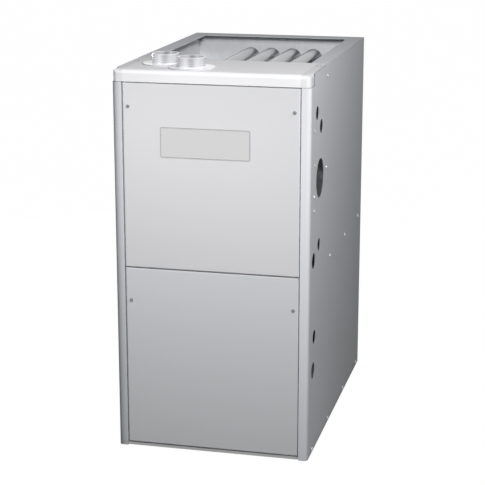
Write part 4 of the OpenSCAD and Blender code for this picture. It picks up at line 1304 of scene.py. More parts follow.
@dataclass
class Studio:
    """The camera, the lamps and the plain white surroundings.

    Attributes:
        eye: The camera's place.
        yaw: Its turn to the left of straight ahead, in degrees.
        pitch: Its tilt downwards, in degrees.
        lens: Focal length in millimetres.
        film: Width of the camera's frame in millimetres.
        ambient: Strength of the light from all round.
        floor_size: Side of the floor.
        floor_drop: How far it lies below the furnace's foot.
        floor_grey: How much light the floor scatters.
        floor_glow: How bright it shows.
        floor_share: How much of its look is that glow, where it is seen.
        lamps: The lamps.
    """

    eye: Point = (0.807, -3.4196, 1.321)
    yaw: float = 13.49
    pitch: float = 14.56
    lens: float = 109.86
    film: float = 36.0
    ambient: float = 0.1
    floor_size: float = 24.0
    floor_drop: float = 0.0006
    floor_grey: float = 0.14
    floor_glow: float = 1.045
    floor_share: float = 0.95
    lamps: tuple[Lamp, ...] = (
        Lamp("key_softbox", (1.796, -1.047, 2.597), (0.951, -1.57, 2.706), 0.55, 110.0),
        Lamp("front_softbox", (0.576, -1.94, 1.63), (0.938, -1.102, 2.039), 0.5, 56.0),
        Lamp("low_softbox", (-0.085, -1.017, 1.2), (-0.399, -1.357, 0.314), 0.35, 10.2),
        Lamp("rear_softbox", (-1.25, 1.65, 0.48), (0.0, 0.2, 0.42), 0.7, 20.0),
    )

    def camera(self) -> None:
        """Makes the camera and looks through it."""
        deselect()
        bpy.ops.object.camera_add(location=self.eye)
        camera = bpy.context.object
        yaw, pitch = math.radians(self.yaw), math.radians(self.pitch)
        level = Vector((-math.sin(yaw), math.cos(yaw), 0.0)) * math.cos(pitch)
        ahead = level - Vector(UP) * math.sin(pitch)
        camera.rotation_mode = "QUATERNION"
        camera.rotation_quaternion = ahead.to_track_quat("-Z", "Y")
        camera.data.sensor_width = self.film
        camera.data.lens = self.lens
        bpy.context.scene.camera = camera

    def seen_directly(self, tree: bpy.types.NodeTree) -> Flow:
        """Clears a tree, and returns 1 for rays from the camera, a gloss or a glass and 0 for others.

        Args:
            tree: The material's or world's node tree.

        Returns:
            The answer, as the tree's first value.
        """
        tree.nodes.clear()
        path = tree.nodes.new("ShaderNodeLightPath")
        seen = Flow(tree, path.outputs["Is Camera Ray"])
        for name in ("Is Glossy Ray", "Is Transmission Ray"):
            seen = seen.most(Flow(tree, path.outputs[name]))
        return seen

    def mixed(self, share: Flow, first: str, second: str, output: str) -> tuple[bpy.types.Node, ...]:
        """Mixes two shaders and leads the mix to the output.

        Args:
            share: How much of the second one shows.
            first: The first shader node's type.
            second: The second one's type.
            output: The output node's type.

        Returns:
            The two shader nodes, to be set.
        """
        tree = share.tree
        nodes = (tree.nodes.new(first), tree.nodes.new(second))
        mix = tree.nodes.new("ShaderNodeMixShader")
        tree.links.new(share.socket, mix.inputs["Fac"])
        for node, slot in zip(nodes, (mix.inputs[1], mix.inputs[2])):
            tree.links.new(node.outputs[0], slot)
        tree.links.new(mix.outputs[0], tree.nodes.new(output).inputs["Surface"])
        return nodes

    def surroundings(self) -> None:
        """Makes the world: white where it is seen, and a dimmer grey as light."""
        world = bpy.data.worlds.new("studio")
        bpy.context.scene.world = world
        world.use_nodes = True
        seen = self.seen_directly(world.node_tree)
        kind = "ShaderNodeBackground"
        light, white = self.mixed(seen, kind, kind, "ShaderNodeOutputWorld")
        for node in (light, white):
            node.inputs["Color"].default_value = (1.0, 1.0, 1.0, 1.0)
        light.inputs["Strength"].default_value = self.ambient

    def floor(self) -> None:
        """Lays the pale floor, which shows white and keeps a soft shadow."""
        deselect()
        bpy.ops.mesh.primitive_plane_add(size=self.floor_size, location=(0.0, 0.0, -self.floor_drop))
        floor = Piece.added("studio_floor").item
        material = bpy.data.materials.new("studio_floor_finish")
        material.use_nodes = True
        seen = self.seen_directly(material.node_tree) * self.floor_share
        kinds = ("ShaderNodeBsdfDiffuse", "ShaderNodeEmission")
        matt, glow = self.mixed(seen, *kinds, "ShaderNodeOutputMaterial")
        matt.inputs["Color"].default_value = (*(self.floor_grey,) * 3, 1.0)
        glow.inputs["Strength"].default_value = self.floor_glow
        floor.data.materials.append(material)

    def build(self) -> None:
        """Sets up the whole studio."""
        bpy.context.scene.view_settings.view_transform = "Standard"
        self.camera()
        self.surroundings()
        self.floor()
        for lamp in self.lamps:
            lamp.hang()


# Fasteners


class Screw:
    """A kind of screw head, modelled once and copied."""

    def model(self, name: str) -> Piece:
        """Models one head at the origin; each kind has its own."""
        raise NotImplementedError

    def fit(
        self,
        name: str,
        places: Sequence[Place],
        stands_for: Sequence[str] = (),
        finish: Finish = ZINC_SCREW,
        body: Body = Body.CABINET,
    ) -> None:
        """Models a head and copies it to each place, as one piece.

        Args:
            name: The piece's name.
            places: Where the heads sit.
            stands_for: CAD nodes that it is shown in place of.
            finish: The heads' finish.
            body: The body it rides on.
        """
        self.model(name).copied(places).deliver("zinc_plate", finish, stands_for, body)


@dataclass(frozen=True)
class HexScrew(Screw):
    """A hex washer head.

    Attributes:
        washer: Radius of its washer face.
        flat: Radius of its hexagon's corners.
        height: Height of the whole head.
    """

    washer: float = 0.005
    flat: float = 0.0036
    height: float = 0.0024

    def model(self, name: str) -> Piece:
        """Models one head at the origin: a domed washer and a dished hexagon.

        Args:
            name: The piece's name.

        Returns:
            The head.
        """
        skirt = self.height * 0.3
        dome = [(self.washer - self.flat, skirt * 0.4)]
        dish = [(self.flat * 0.28, 0.0), (self.flat * 0.1, -self.height * 0.25)]
        base = Piece.turned(f"{name}_base", self.washer, skirt * 0.6, dome, 24)
        head = Piece.turned(name, self.flat, self.height, dish, 6)
        head.soften(self.height * 0.08, 1)
        return head.joined([base.soften(self.height * 0.05, 1)])


@dataclass(frozen=True)
class CrossScrew(Screw):
    """A domed head with a cross recess.

    Attributes:
        radius: Radius of its head.
        height: Height of its head.
        slot: Width of the recess.
    """

    radius: float = 0.0042
    height: float = 0.0022
    slot: float = 0.0009

    def model(self, name: str) -> Piece:
        """Models one head at the origin: a dome with a cross cut out of it.

        Args:
            name: The piece's name.

        Returns:
            The head.
        """
        r, h = self.radius, self.height
        dome = [(r * 0.1, h * 0.3), (r * 0.22, h * 0.24), (r * 0.3, h * 0.16)]
        head = Piece.turned(name, r, h * 0.3, dome)
        for turn in (0.0, 90.0):
            deselect()
            bpy.ops.mesh.primitive_cube_add(
                size=1.0,
                location=(0.0, 0.0, h * 0.85),
                rotation=(0.0, 0.0, math.radians(turn)),
                scale=(r * 1.1, self.slot, h),
            )
            head.cut(Piece.added("recess"))
        return head


FLANGE_SCREW = HexScrew(0.0045, 0.0032, 0.0026)


def blades(name: str, length: float, places: Sequence[Place]) -> None:
    """Models flat terminals that stand on their places, as one piece.

    Args:
        name: The piece's name.
        length: Length of a blade without its chamfered tip.
        places: Where the blades stand.
    """
    blade = Piece.block(name, (-0.003, -0.0004, 0.0), (0.003, 0.0004, length))
    blade.panel(UP, 0.00018, 0.0006).soften(0.00012, 1)
    blade.copied(places).deliver("orifice_brass", TINNED_BRASS)


# Sub-assemblies


class Assembly:
    """A sub-assembly, which dresses its CAD nodes and models its own small pieces."""

    def finishes(self) -> dict[str, Finish]:
        """Returns the finish of each CAD node that stays."""
        return {}

    def model(self) -> None:
        """Models the small pieces."""
        raise NotImplementedError

    def build(self) -> None:
        """Dresses and details the sub-assembly."""
        for node, finish in self.finishes().items():
            dress(node, finish)
        self.model()


@dataclass
class Cabinet(Assembly):
    """The casing with its pan, deck, cap, liners, screws and knock-outs.

    Attributes:
        width: Overall width.
        depth: Overall depth.
        height: Overall height without the stubs.
        cap_depth: Depth of the cap.
        cap_height: Height of the cap's front.
        deck: Height of the blower deck's top.
        door_width: Width of a door.
        proud: How far a knock-out stands out of the wall.
        knockouts: Each one's distance behind the front face, its height and its radius.
    """

    width: float = 0.4445
    depth: float = 0.7112
    height: float = 0.8763
    cap_depth: float = 0.195
    cap_height: float = 0.027
    deck: float = 0.4282
    door_width: float = 0.3981
    proud: float = 0.0005
    knockouts: tuple[Point, ...] = (
        (0.073, 0.784, 0.0155),
        (0.122, 0.747, 0.016),
        (0.113, 0.632, 0.044),
        (0.109, 0.48, 0.0145),
        (0.048, 0.457, 0.018),
        (0.066, 0.275, 0.016),
        (0.056, 0.198, 0.019),
    )

    @property
    def side(self) -> float:
        """Half the width."""
        return self.width / 2

    @property
    def front(self) -> float:
        """The front face's place along Y."""
        return -self.depth / 2

    @property
    def paint(self) -> CasingPaint:
        """The casing's paint."""
        return CasingPaint(shown(225, 227, 231), self.height, self.front, self.side)

    def finishes(self) -> dict[str, Finish]:
        """Returns the paint, zinc and foil of the cabinet's sheets."""
        return {
            "casing": self.paint,
            "base_pan": SatinPaint(shown(212, 212, 213), 0.45, 2.0),
            "top_cap": CapPaint(shown(243, 243, 245), self.door_width / 2 + 0.001, self.height),
            "blower_deck": ZINC,
            "vestibule_panel": Spangled(shown(158, 161, 164), 70.0),
            "foil_liner": FoilBoard(shown(236, 238, 241)),
        }

    def screw_places(self) -> list[Place]:
        """Returns the places of the casing's screws on both walls.

        Returns:
            The places, the left wall's first.
        """
        deck = self.deck - 0.01
        rows = [(self.cap_depth + 0.054, deck), (self.depth * 0.637, deck), (self.depth * 0.926, deck)]
        rows += [(y, 0.011) for y in (0.05, 0.25, 0.466, self.depth - 0.04)]
        seam = self.cap_depth - 0.009
        rows += [(seam, self.height - self.cap_height + 0.001), (seam, 0.642)]
        rows += [(0.042, z) for z in (0.7495, 0.673, 0.604, 0.572)]
        return [
            Place((sign * self.side, self.front + y, z), (sign, 0.0, 0.0), 17.0 * count)
            for sign in SIDES
            for count, (y, z) in enumerate(rows)
        ]

    def screws(self) -> None:
        """Models the casing's screws and the cap's small ones in place of the CAD ones."""
        HexScrew().fit("casing_screw_heads", self.screw_places(), ["casing_screws"])
        places = [
            Place((sign * (self.side - x), self.front + 0.146, self.height), UP, 25.0 * sign)
            for sign in SIDES
            for x in (0.016, 0.007)
        ]
        CrossScrew(0.0024, 0.0011, 0.0006).fit("cap_screw_heads", places, ["cap_screws"], DARK_SCREW)

    def blanks(self) -> None:
        """Models the unopened knock-outs of the left wall, opposite the right wall's entries."""
        steps = [(0.0004, self.proud * 0.6), (0.0016, 0.0), (0.0006, -self.proud * 0.7)]
        made = [
            Piece.turned("left_knockouts", radius, self.proud * 0.4, steps, 48).stand(
                Place((-self.side, self.front + y, z), LEFT)
            )
            for y, z, radius in self.knockouts
        ]
        made[0].joined(made[1:]).deliver("casing_paint", self.paint)

    def grommets(self) -> None:
        """Models the rubber grommets in the deck's two wire holes."""
        places = [Place((x, self.front + 0.06, self.deck)) for x in (-0.19, 0.12)]
        ring = Piece.ring("deck_grommets", 0.0075, 0.0148, 0.004, 40).soften(0.0012, 3)
        ring.copied(places).deliver("black_rubber", RUBBER)

    def model(self) -> None:
        """Models the small pieces."""
        self.screws()
        self.blanks()
        self.grommets()


@dataclass
class Doors(Assembly):
    """The two lift-off doors with their screws, the bare plate and the stiffener inside.

    Attributes:
        front: The doors' front face along Y.
        width: Width of a door.
        plate_middle: Middle of the bare plate across and up.
        plate_size: Width and height of the plate.
        plate_thick: Thickness of the plate.
        screw_in: Distance of the screws from a door's side edges.
        screw_heights: Heights of the lower and the upper door's screws.
    """

    front: float = -0.3556
    width: float = 0.3981
    plate_middle: Pair = (-0.012, 0.7183)
    plate_size: Pair = (0.201, 0.066)
    plate_thick: float = 0.0005
    screw_in: float = 0.0125
    screw_heights: Pair = (0.353, 0.795)

    def finishes(self) -> dict[str, Finish]:
        """Returns the paint of the doors and the fibre of the liner."""
        return {
            # Each door's last number is its top edge, where painted shade dims the highlight.
            "upper_door": SatinPaint(shown(220, 220, 222), 0.4, 1.0, 0.8477),
            "lower_door": SatinPaint(shown(218, 219, 222), 0.4, 7.0, 0.4284),
            "lower_door_liner": Felt(shown(72, 74, 78)),
        }

    def plate(self) -> None:
        """Models the bare plate: rounded corners, a fine rim and a flat field."""
        (x, z), (wide, tall) = self.plate_middle, self.plate_size
        low = (x - wide / 2, self.front - self.plate_thick * 0.6, z - tall / 2)
        high = (x + wide / 2, self.front, z + tall / 2)
        rim = self.plate_thick * 0.4
        plate = Piece.block("blank_plate_film", low, high).corners(0.003, 6)
        plate.panel(FORWARD, 0.0003, rim).panel(FORWARD, 0.0014, -rim)
        film = PlateFilm(shown(210, 210, 211), self.plate_middle, self.plate_size)
        plate.deliver("plate_film", film, ["blank_plate"], Body.UPPER_DOOR)

    def screws(self) -> None:
        """Models each door's pair of screws in place of the CAD ones."""
        across = self.width / 2 - self.screw_in
        for body, height in zip((Body.LOWER_DOOR, Body.UPPER_DOOR), self.screw_heights):
            name = f"{body.value}_screw"
            places = [Place((s * across, self.front, height), FORWARD, 30.0 * s) for s in SIDES]
            CrossScrew().fit(f"{name}_heads", places, [f"{name}s"], DARK_SCREW, body)

    def stiffener(self) -> None:
        """Models the hat channel spot-welded across the inside of the upper door."""
        half = self.width / 2 - 0.012
        low, high = (-half, self.front + 0.001, 0.6), (half, self.front + 0.0022, 0.67)
        channel = Piece.block("upper_door_channel", low, high).panel(REAR, 0.012, 0.011)
        channel.panel(REAR, 0.003, -0.0008, self.front + 0.01).soften(0.0012)
        finish = Spangled(shown(188, 191, 194), 80.0)
        channel.deliver("galvanised_steel", finish, body=Body.UPPER_DOOR)

    def model(self) -> None:
        """Models the small pieces."""
        self.plate()
        self.screws()
        self.stiffener()


@dataclass
class Stubs(Assembly):
    """The vent and intake stubs with the pipe, couplings and stop rings inside.

    Attributes:
        vent: Middle of the vent stub's tail in plan, which its flange's cut doesn't move.
        intake: The same of the intake stub.
        bore: Radius of the stubs' bore.
        stop: Height of the stop rings' foot below the cap's top.
        clamp_bolt: Radius of a band clamp's screw.
    """

    vent: Pair = (-0.13, -0.2476)
    intake: Pair = (-0.056, -0.2976)
    bore: float = 0.02625
    stop: float = 0.004
    clamp_bolt: float = 0.0032

    def finishes(self) -> dict[str, Finish]:
        """Returns the plastic of the stubs and the pipe, and the couplings' rubber."""
        return {
            "vent_stub": StubPlastic(STUB_COLOUR, middle=self.vent),
            "intake_stub": StubPlastic(STUB_COLOUR, middle=self.intake),
            "vent_pipe": GlossPipe(shown(232, 232, 232), 700.0),
            "vent_couplings": RUBBER,
        }

    def stop_rings(self) -> None:
        """Models the ledges inside the stubs that stop a pushed-in pipe."""
        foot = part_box("top_cap")[1].z - self.stop
        places = [Place((*middle, foot)) for middle in (self.vent, self.intake)]
        ring = Piece.ring("stub_stop_rings", self.bore - 0.0022, self.bore - 0.0001, 0.003, 64)
        ring.soften(0.0005).copied(places).deliver("white_pvc", PIPE_PLASTIC)

    def clamp_screws(self) -> None:
        """Models the worm screws of the couplings' four band clamps."""
        low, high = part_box("vent_couplings")
        half = (0.009, 0.0035, 0.0045)
        clamp = Piece.block("coupling_clamp_screws", tuple(-length for length in half), half)
        clamp.panel(RIGHT, 0.0012, 0.003).panel(LEFT, 0.0018, 0.001).soften(0.0007)
        bolt = Piece.turned("clamp_bolt", self.clamp_bolt, 0.005, [(0.0008, -0.001)], 6)
        clamp.joined([bolt.stand(Place((0.011, 0.0, 0.0), RIGHT))])
        heights = (low.z + 0.0105, low.z + 0.0295, high.z - 0.0295, high.z - 0.0105)
        clamp.copied([Place((self.vent[0], low.y - 0.0032, z)) for z in heights])
        clamp.deliver("zinc_plate", ZINC_SCREW)

    def model(self) -> None:
        """Models the small pieces."""
        self.stop_rings()
        self.clamp_screws()


@dataclass
class Exchanger(Assembly):
    """The serpentine tubes, the collector, the coil and its header.

    Attributes:
        tube: Outer radius of a tube.
        tube_xs: Places of the tubes across the cabinet.
        top_pass: Height of the top pass.
        last_pass: Height of the last pass, which ends in the collector.
    """

    tube: float = 0.02225
    tube_xs: tuple[float, ...] = (-0.04955, 0.00415, 0.05785, 0.11155)
    top_pass: float = 0.83475
    last_pass: float = 0.67475

    def finishes(self) -> dict[str, Finish]:
        """Returns the aluminised, stainless and rolled finishes."""
        tube = Drawn(shown(152, 153, 156), Grain.DEEP, 0.22, 1.0)
        return {f"heat_tube_{count}": tube for count in range(1, 5)} | {
            "collector_box": ALUMINISED,
            "coil_tubes": Drawn(shown(190, 192, 195), Grain.DEEP, 0.28, 1.0),
            "coil_fins": Drawn(shown(222, 223, 226), Grain.UPRIGHT, 0.3, 0.9),
            "coil_header": Moulded(shown(46, 47, 50), 0.5),
        }

    def tube_collars(self) -> None:
        """Models the swaged collars where the tubes meet the vestibule panel and the collector."""
        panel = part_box("vestibule_panel")[1].y
        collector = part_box("collector_box")[0].y
        places = [Place((x, panel, self.top_pass), REAR) for x in self.tube_xs]
        places += [Place((x, collector, self.last_pass), FORWARD) for x in self.tube_xs]
        ring = Piece.ring("tube_collars", self.tube + 0.0002, self.tube + 0.0034, 0.003)
        ring.soften(0.0009, 3).copied(places).deliver("aluminised_steel", ALUMINISED)

    def collector_screws(self) -> None:
        """Models the screws round the collector's flange."""
        low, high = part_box("collector_box")
        xs = spaced(low.x + 0.005, high.x - 0.005, 5)
        places = [Place((x, low.y, high.z - 0.004), FORWARD, 11.0 * i) for i, x in enumerate(xs)]
        FLANGE_SCREW.fit("collector_screws", places)

    def header_clips(self) -> None:
        """Models the spring clips and the sealed seam round the header's edge."""
        low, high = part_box("coil_header")
        places = [
            Place((low.x + 0.016 + count * 0.04, low.y + 0.003, z))
            for count in range(4)
            for z in (low.z + 0.006, high.z - 0.006)
        ]
        clip = Piece.block("header_clips", (-0.006, -0.0016, -0.004), (0.006, 0.0, 0.004))
        clip.panel(FORWARD, 0.0016, 0.001).soften(0.0004).copied(places)
        clip.deliver("coil_steel", Drawn(shown(196, 197, 200), Grain.ACROSS, 0.3, 0.9))

    def model(self) -> None:
        """Models the small pieces."""
        self.tube_collars()
        self.collector_screws()
        self.header_clips()


@dataclass
class Burners(Assembly):
    """The burner box with its burners, manifold, valve, switches and igniter.

    Attributes:
        screw: The screws of the box's flange.
        cap_radius: Radius of the valve's regulator cap.
        face: Distance of the valve's body behind its foremost face.
        level: Height of the cap and the taps over the valve's foot.
    """

    screw: HexScrew = HexScrew(0.0042, 0.003, 0.0024)
    cap_radius: float = 0.0075
    face: float = 0.006
    level: float = 0.012

    def finishes(self) -> dict[str, Finish]:
        """Returns the finishes of the compartment."""
        reset = Moulded(shown(196, 42, 34), 0.3, 0.00004)
        return {
            "burner_box": Spangled(shown(186, 189, 192), 110.0),
            "burners": Drawn(shown(184, 184, 186), Grain.DEEP, 0.42, 0.8),
            "gas_manifold": Enamel(shown(58, 58, 60), 0.4),
            "gas_orifices": BRASS,
            "gas_valve": Cast(shown(184, 186, 189)),
            "gas_valve_knob": Moulded(shown(38, 72, 148), 0.34),
            "ignitor": CERAMIC,
            "flame_sensor": Ceramic(shown(236, 235, 230)),
            "rollout_switches": BLACK_PLASTIC,
            "rollout_reset_left": reset,
            "rollout_reset_right": reset,
            "limit_switch": Moulded(shown(54, 52, 50), 0.5),
        }

    def box_screws(self) -> None:
        """Models the screws along the burner box's front flange."""
        low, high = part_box("burner_box")
        xs = spaced(low.x + 0.006, high.x - 0.006, 6)
        places = [Place((x, low.y, low.z + 0.01), FORWARD, 13.0 * i) for i, x in enumerate(xs)]
        self.screw.fit("burner_box_screws", places)

    def valve_fittings(self) -> None:
        """Models the valve's regulator cap, pressure taps and body screws."""
        low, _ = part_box("gas_valve")
        body, level = low.y + self.face, low.z + self.level
        steps = [(0.0008, 0.001), (0.002, -0.0012), (0.0006, 0.0)]
        cap = Piece.turned("valve_regulator_cap", self.cap_radius, 0.004, steps, 28).soften(0.0003)
        cap.stand(Place((low.x + 0.042, body, level), FORWARD)).deliver("orifice_brass", BRASS)
        tap = Piece.turned("valve_taps", 0.0042, 0.003, [(0.0016, 0.0), (0.0001, -0.0018)], 6)
        tap.soften(0.0002, 1).copied([Place((low.x + x, body, level), FORWARD) for x in (0.032, 0.0525)])
        tap.deliver("orifice_brass", BRASS)
        corners = [(0.004, 0.004), (0.062, 0.004), (0.004, 0.048), (0.062, 0.048)]
        places = [Place((low.x + x, body, low.z + z), FORWARD, 40.0 * x * z) for x, z in corners]
        CrossScrew(0.0028, 0.0016, 0.0007).fit("valve_body_screws", places, finish=DARK_SCREW)

    def solenoid(self) -> None:
        """Models the black coil cover on the valve's raised pad, with its two blades."""
        low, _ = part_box("gas_valve")
        near = (low.x + 0.01, low.y - 0.008, low.z + 0.016)
        far = (low.x + 0.028, low.y, low.z + 0.04)
        cover = Piece.block("valve_coil_cover", near, far).corners(0.003, 4)
        cover.panel(FORWARD, 0.0015, 0.0015).panel(FORWARD, 0.002, -0.0008).soften(0.0004)
        cover.deliver("black_plastic", BLACK_PLASTIC)
        places = [Place((low.x + x, low.y - 0.004, low.z + 0.04)) for x in (0.0145, 0.0235)]
        blades("valve_coil_blades", 0.008, places)

    def model(self) -> None:
        """Models the small pieces."""
        self.box_screws()
        self.valve_fittings()
        self.solenoid()


@dataclass
class Inducer(Assembly):
    """The draught inducer with its wheel and motor, the pressure switch, its hose and the trap.

    Attributes:
        middle: Middle of the inducer across, along its front face and up.
        rim: Radius of the ring of housing screws.
        turns: Where those screws sit on the ring, in degrees.
        fan: Radius of the motor's cooling fan.
        fan_blades: Number of its blades.
        lean: How far a blade's tip is bent aside.
    """

    middle: Point = (-0.07815, -0.2696, 0.592)
    rim: float = 0.0765
    turns: tuple[int, ...] = (15, 60, 105, 195, 240, 285, 330)
    fan: float = 0.031
    fan_blades: int = 9
    lean: float = 0.005

    def finishes(self) -> dict[str, Finish]:
        """Returns the plastics, rubber, enamel and metal."""
        return {
            "inducer_housing": BLACK_PLASTIC,
            "inducer_wheel": Drawn(shown(196, 198, 201), Grain.ACROSS, 0.4, 0.8),
            "inducer_motor": ENAMEL,
            "pressure_switch": GREY_PLASTIC,
            "pressure_hose": RUBBER,
            "condensate_trap": Moulded(shown(218, 219, 214), 0.4, 0.00008, 0.05),
            "drain_hose": RUBBER,
        }

    def cooling_fan(self) -> None:
        """Models the small fan on the motor's front, which turns with the wheel."""
        at = (self.middle[0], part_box("inducer_motor")[0].y - 0.0005, self.middle[2])
        hub = Piece.turned("motor_cooling_fan", 0.01, 0.0015, [(0.002, 0.005), (0.003, 0.001)])
        hub.soften(0.0005).stand(Place(at, FORWARD))
        blade = Piece.block("fan_blades", (0.008, -0.0004, 0.0005), (self.fan, 0.0004, 0.0075))
        with blade.editing(lambda middle, way: abs(way.z) > 0.5, Pick.EDGE):
            bpy.ops.mesh.bevel(offset=0.0003, segments=2)
        with blade.editing(lambda middle, normal: normal.x > 0.9):
            bpy.ops.transform.translate(value=(0.0, self.lean, 0.0))
        step = 360.0 / self.fan_blades
        blade.copied([Place(at, FORWARD, step * count) for count in range(self.fan_blades)])
        finish = Drawn(shown(196, 198, 201), Grain.ACROSS, 0.34, 0.8)
        hub.joined([blade]).deliver("aluminised_steel", finish, body=Body.INDUCER_WHEEL)

    def trap_cap(self) -> None:
        """Models the trap's screwed inspection cap with its grip ribs, 18 degrees apart."""
        low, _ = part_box("condensate_trap")
        cap = Piece.turned("trap_cap", 0.013, 0.006, [(0.001, 0.0008), (0.005, -0.001)], 40)

        def ribbed(middle: Vector, normal: Vector) -> bool:
            """Says yes to every other face of the cap's side."""
            turn = round(math.degrees(math.atan2(middle.y, middle.x)))
            return abs(normal.z) < 0.2 and turn % 18 < 9

        with cap.editing(ribbed):
            bpy.ops.mesh.inset(thickness=0.0002)
            bpy.ops.mesh.extrude_region_shrink_fatten(TRANSFORM_OT_shrink_fatten={"value": 0.0006})
        cap.stand(Place((low.x + 0.034, low.y, low.z + 0.03), FORWARD))
        cap.deliver("black_plastic", BLACK_PLASTIC)

    def switch_face(self) -> None:
        """Models the pressure switch's crimped rim and its two blades."""
        low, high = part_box("pressure_switch")
        x, z = (low.x + high.x) / 2, low.z + 0.036
        ring = Piece.ring("pressure_switch_rim", 0.0305, 0.0345, 0.0032, 64).soften(0.001, 3)
        ring.stand(Place((x, high.y - 0.004, z), FORWARD))
        ring.deliver("coil_steel", Drawn(shown(198, 199, 202), Grain.ACROSS, 0.3, 0.9))
        places = [Place((x + side * 0.006, low.y, z - 0.004), FORWARD) for side in SIDES]
        blades("pressure_switch_blades", 0.009, places)

    def model(self) -> None:
        """Models the small pieces."""
        places = [
            Place(on_circle(self.middle, self.rim, turn, RIGHT), FORWARD, turn) for turn in self.turns
        ]
        FLANGE_SCREW.fit("inducer_screws", places)
        self.cooling_fan()
        self.trap_cap()
        self.switch_face()


@dataclass
class Blower(Assembly):
    """The blower: scroll, rails, wheel, shaft, motor, mount and capacitor.

    Attributes:
        middle: The shaft's place along Y and Z.
        half: Half the scroll's width.
        rim: Radius of the ring of screws round each inlet.
        screws: Number of those screws.
        bolt_ring: Radius of the ring of the motor's through bolts.
        bolts: Number of those bolts.
        bolt_sunk: Distance of the bolts' seat behind the motor's end.
    """

    middle: Pair = (0.0164, 0.209)
    half: float = 0.12
    rim: float = 0.116
    screws: int = 6
    bolt_ring: float = 0.0575
    bolts: int = 4
    bolt_sunk: float = 0.0074

    def finishes(self) -> dict[str, Finish]:
        """Returns the zinc, enamel and bright metal."""
        return {
            "blower_housing": Spangled(shown(188, 191, 194), 85.0),
            "blower_rails": ZINC,
            "blower_wheel": Spangled(shown(182, 185, 188), 130.0),
            "blower_shaft": Drawn(shown(196, 197, 199), Grain.ACROSS, 0.25, 1.0),
            "blower_motor": Enamel(shown(50, 52, 56), 0.36),
            "motor_mount": Drawn(shown(176, 178, 181), Grain.UPRIGHT, 0.36, 0.85),
            "run_capacitor": Drawn(shown(206, 207, 209), Grain.UPRIGHT, 0.3, 0.85),
        }

    def fasten(self) -> None:
        """Models the screws of the inlet rings on both side plates, and the motor's through bolts."""
        step = 360.0 / self.screws
        places = [
            Place(
                on_circle((sign * self.half, *self.middle), self.rim, step * count, REAR),
                (sign, 0.0, 0.0),
                15.0 * count,
            )
            for sign in SIDES
            for count in range(self.screws)
        ]
        FLANGE_SCREW.fit("scroll_screws", places)
        seat = (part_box("blower_motor")[1].x - self.bolt_sunk, *self.middle)
        step = 360.0 / self.bolts
        places = [
            Place(on_circle(seat, self.bolt_ring, 45.0 + step * count, REAR), RIGHT, 20.0 * count)
            for count in range(self.bolts)
        ]
        HexScrew(0.004, 0.0034, 0.004).fit("motor_bolts", places)

    def capacitor_boot(self) -> None:
        """Models the rubber boot over the capacitor's terminals."""
        low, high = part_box("run_capacitor")
        steps = [(0.002, 0.004), (0.003, 0.003), (0.0035, 0.0015)]
        boot = Piece.turned("capacitor_boot", 0.0175, 0.006, steps, 40).soften(0.001, 3)
        boot.stand(Place((high.x - 0.021, (low.y + high.y) / 2, high.z - 0.008)))
        boot.deliver("black_rubber", RUBBER)

    def model(self) -> None:
        """Models the small pieces."""
        self.fasten()
        self.capacitor_boot()


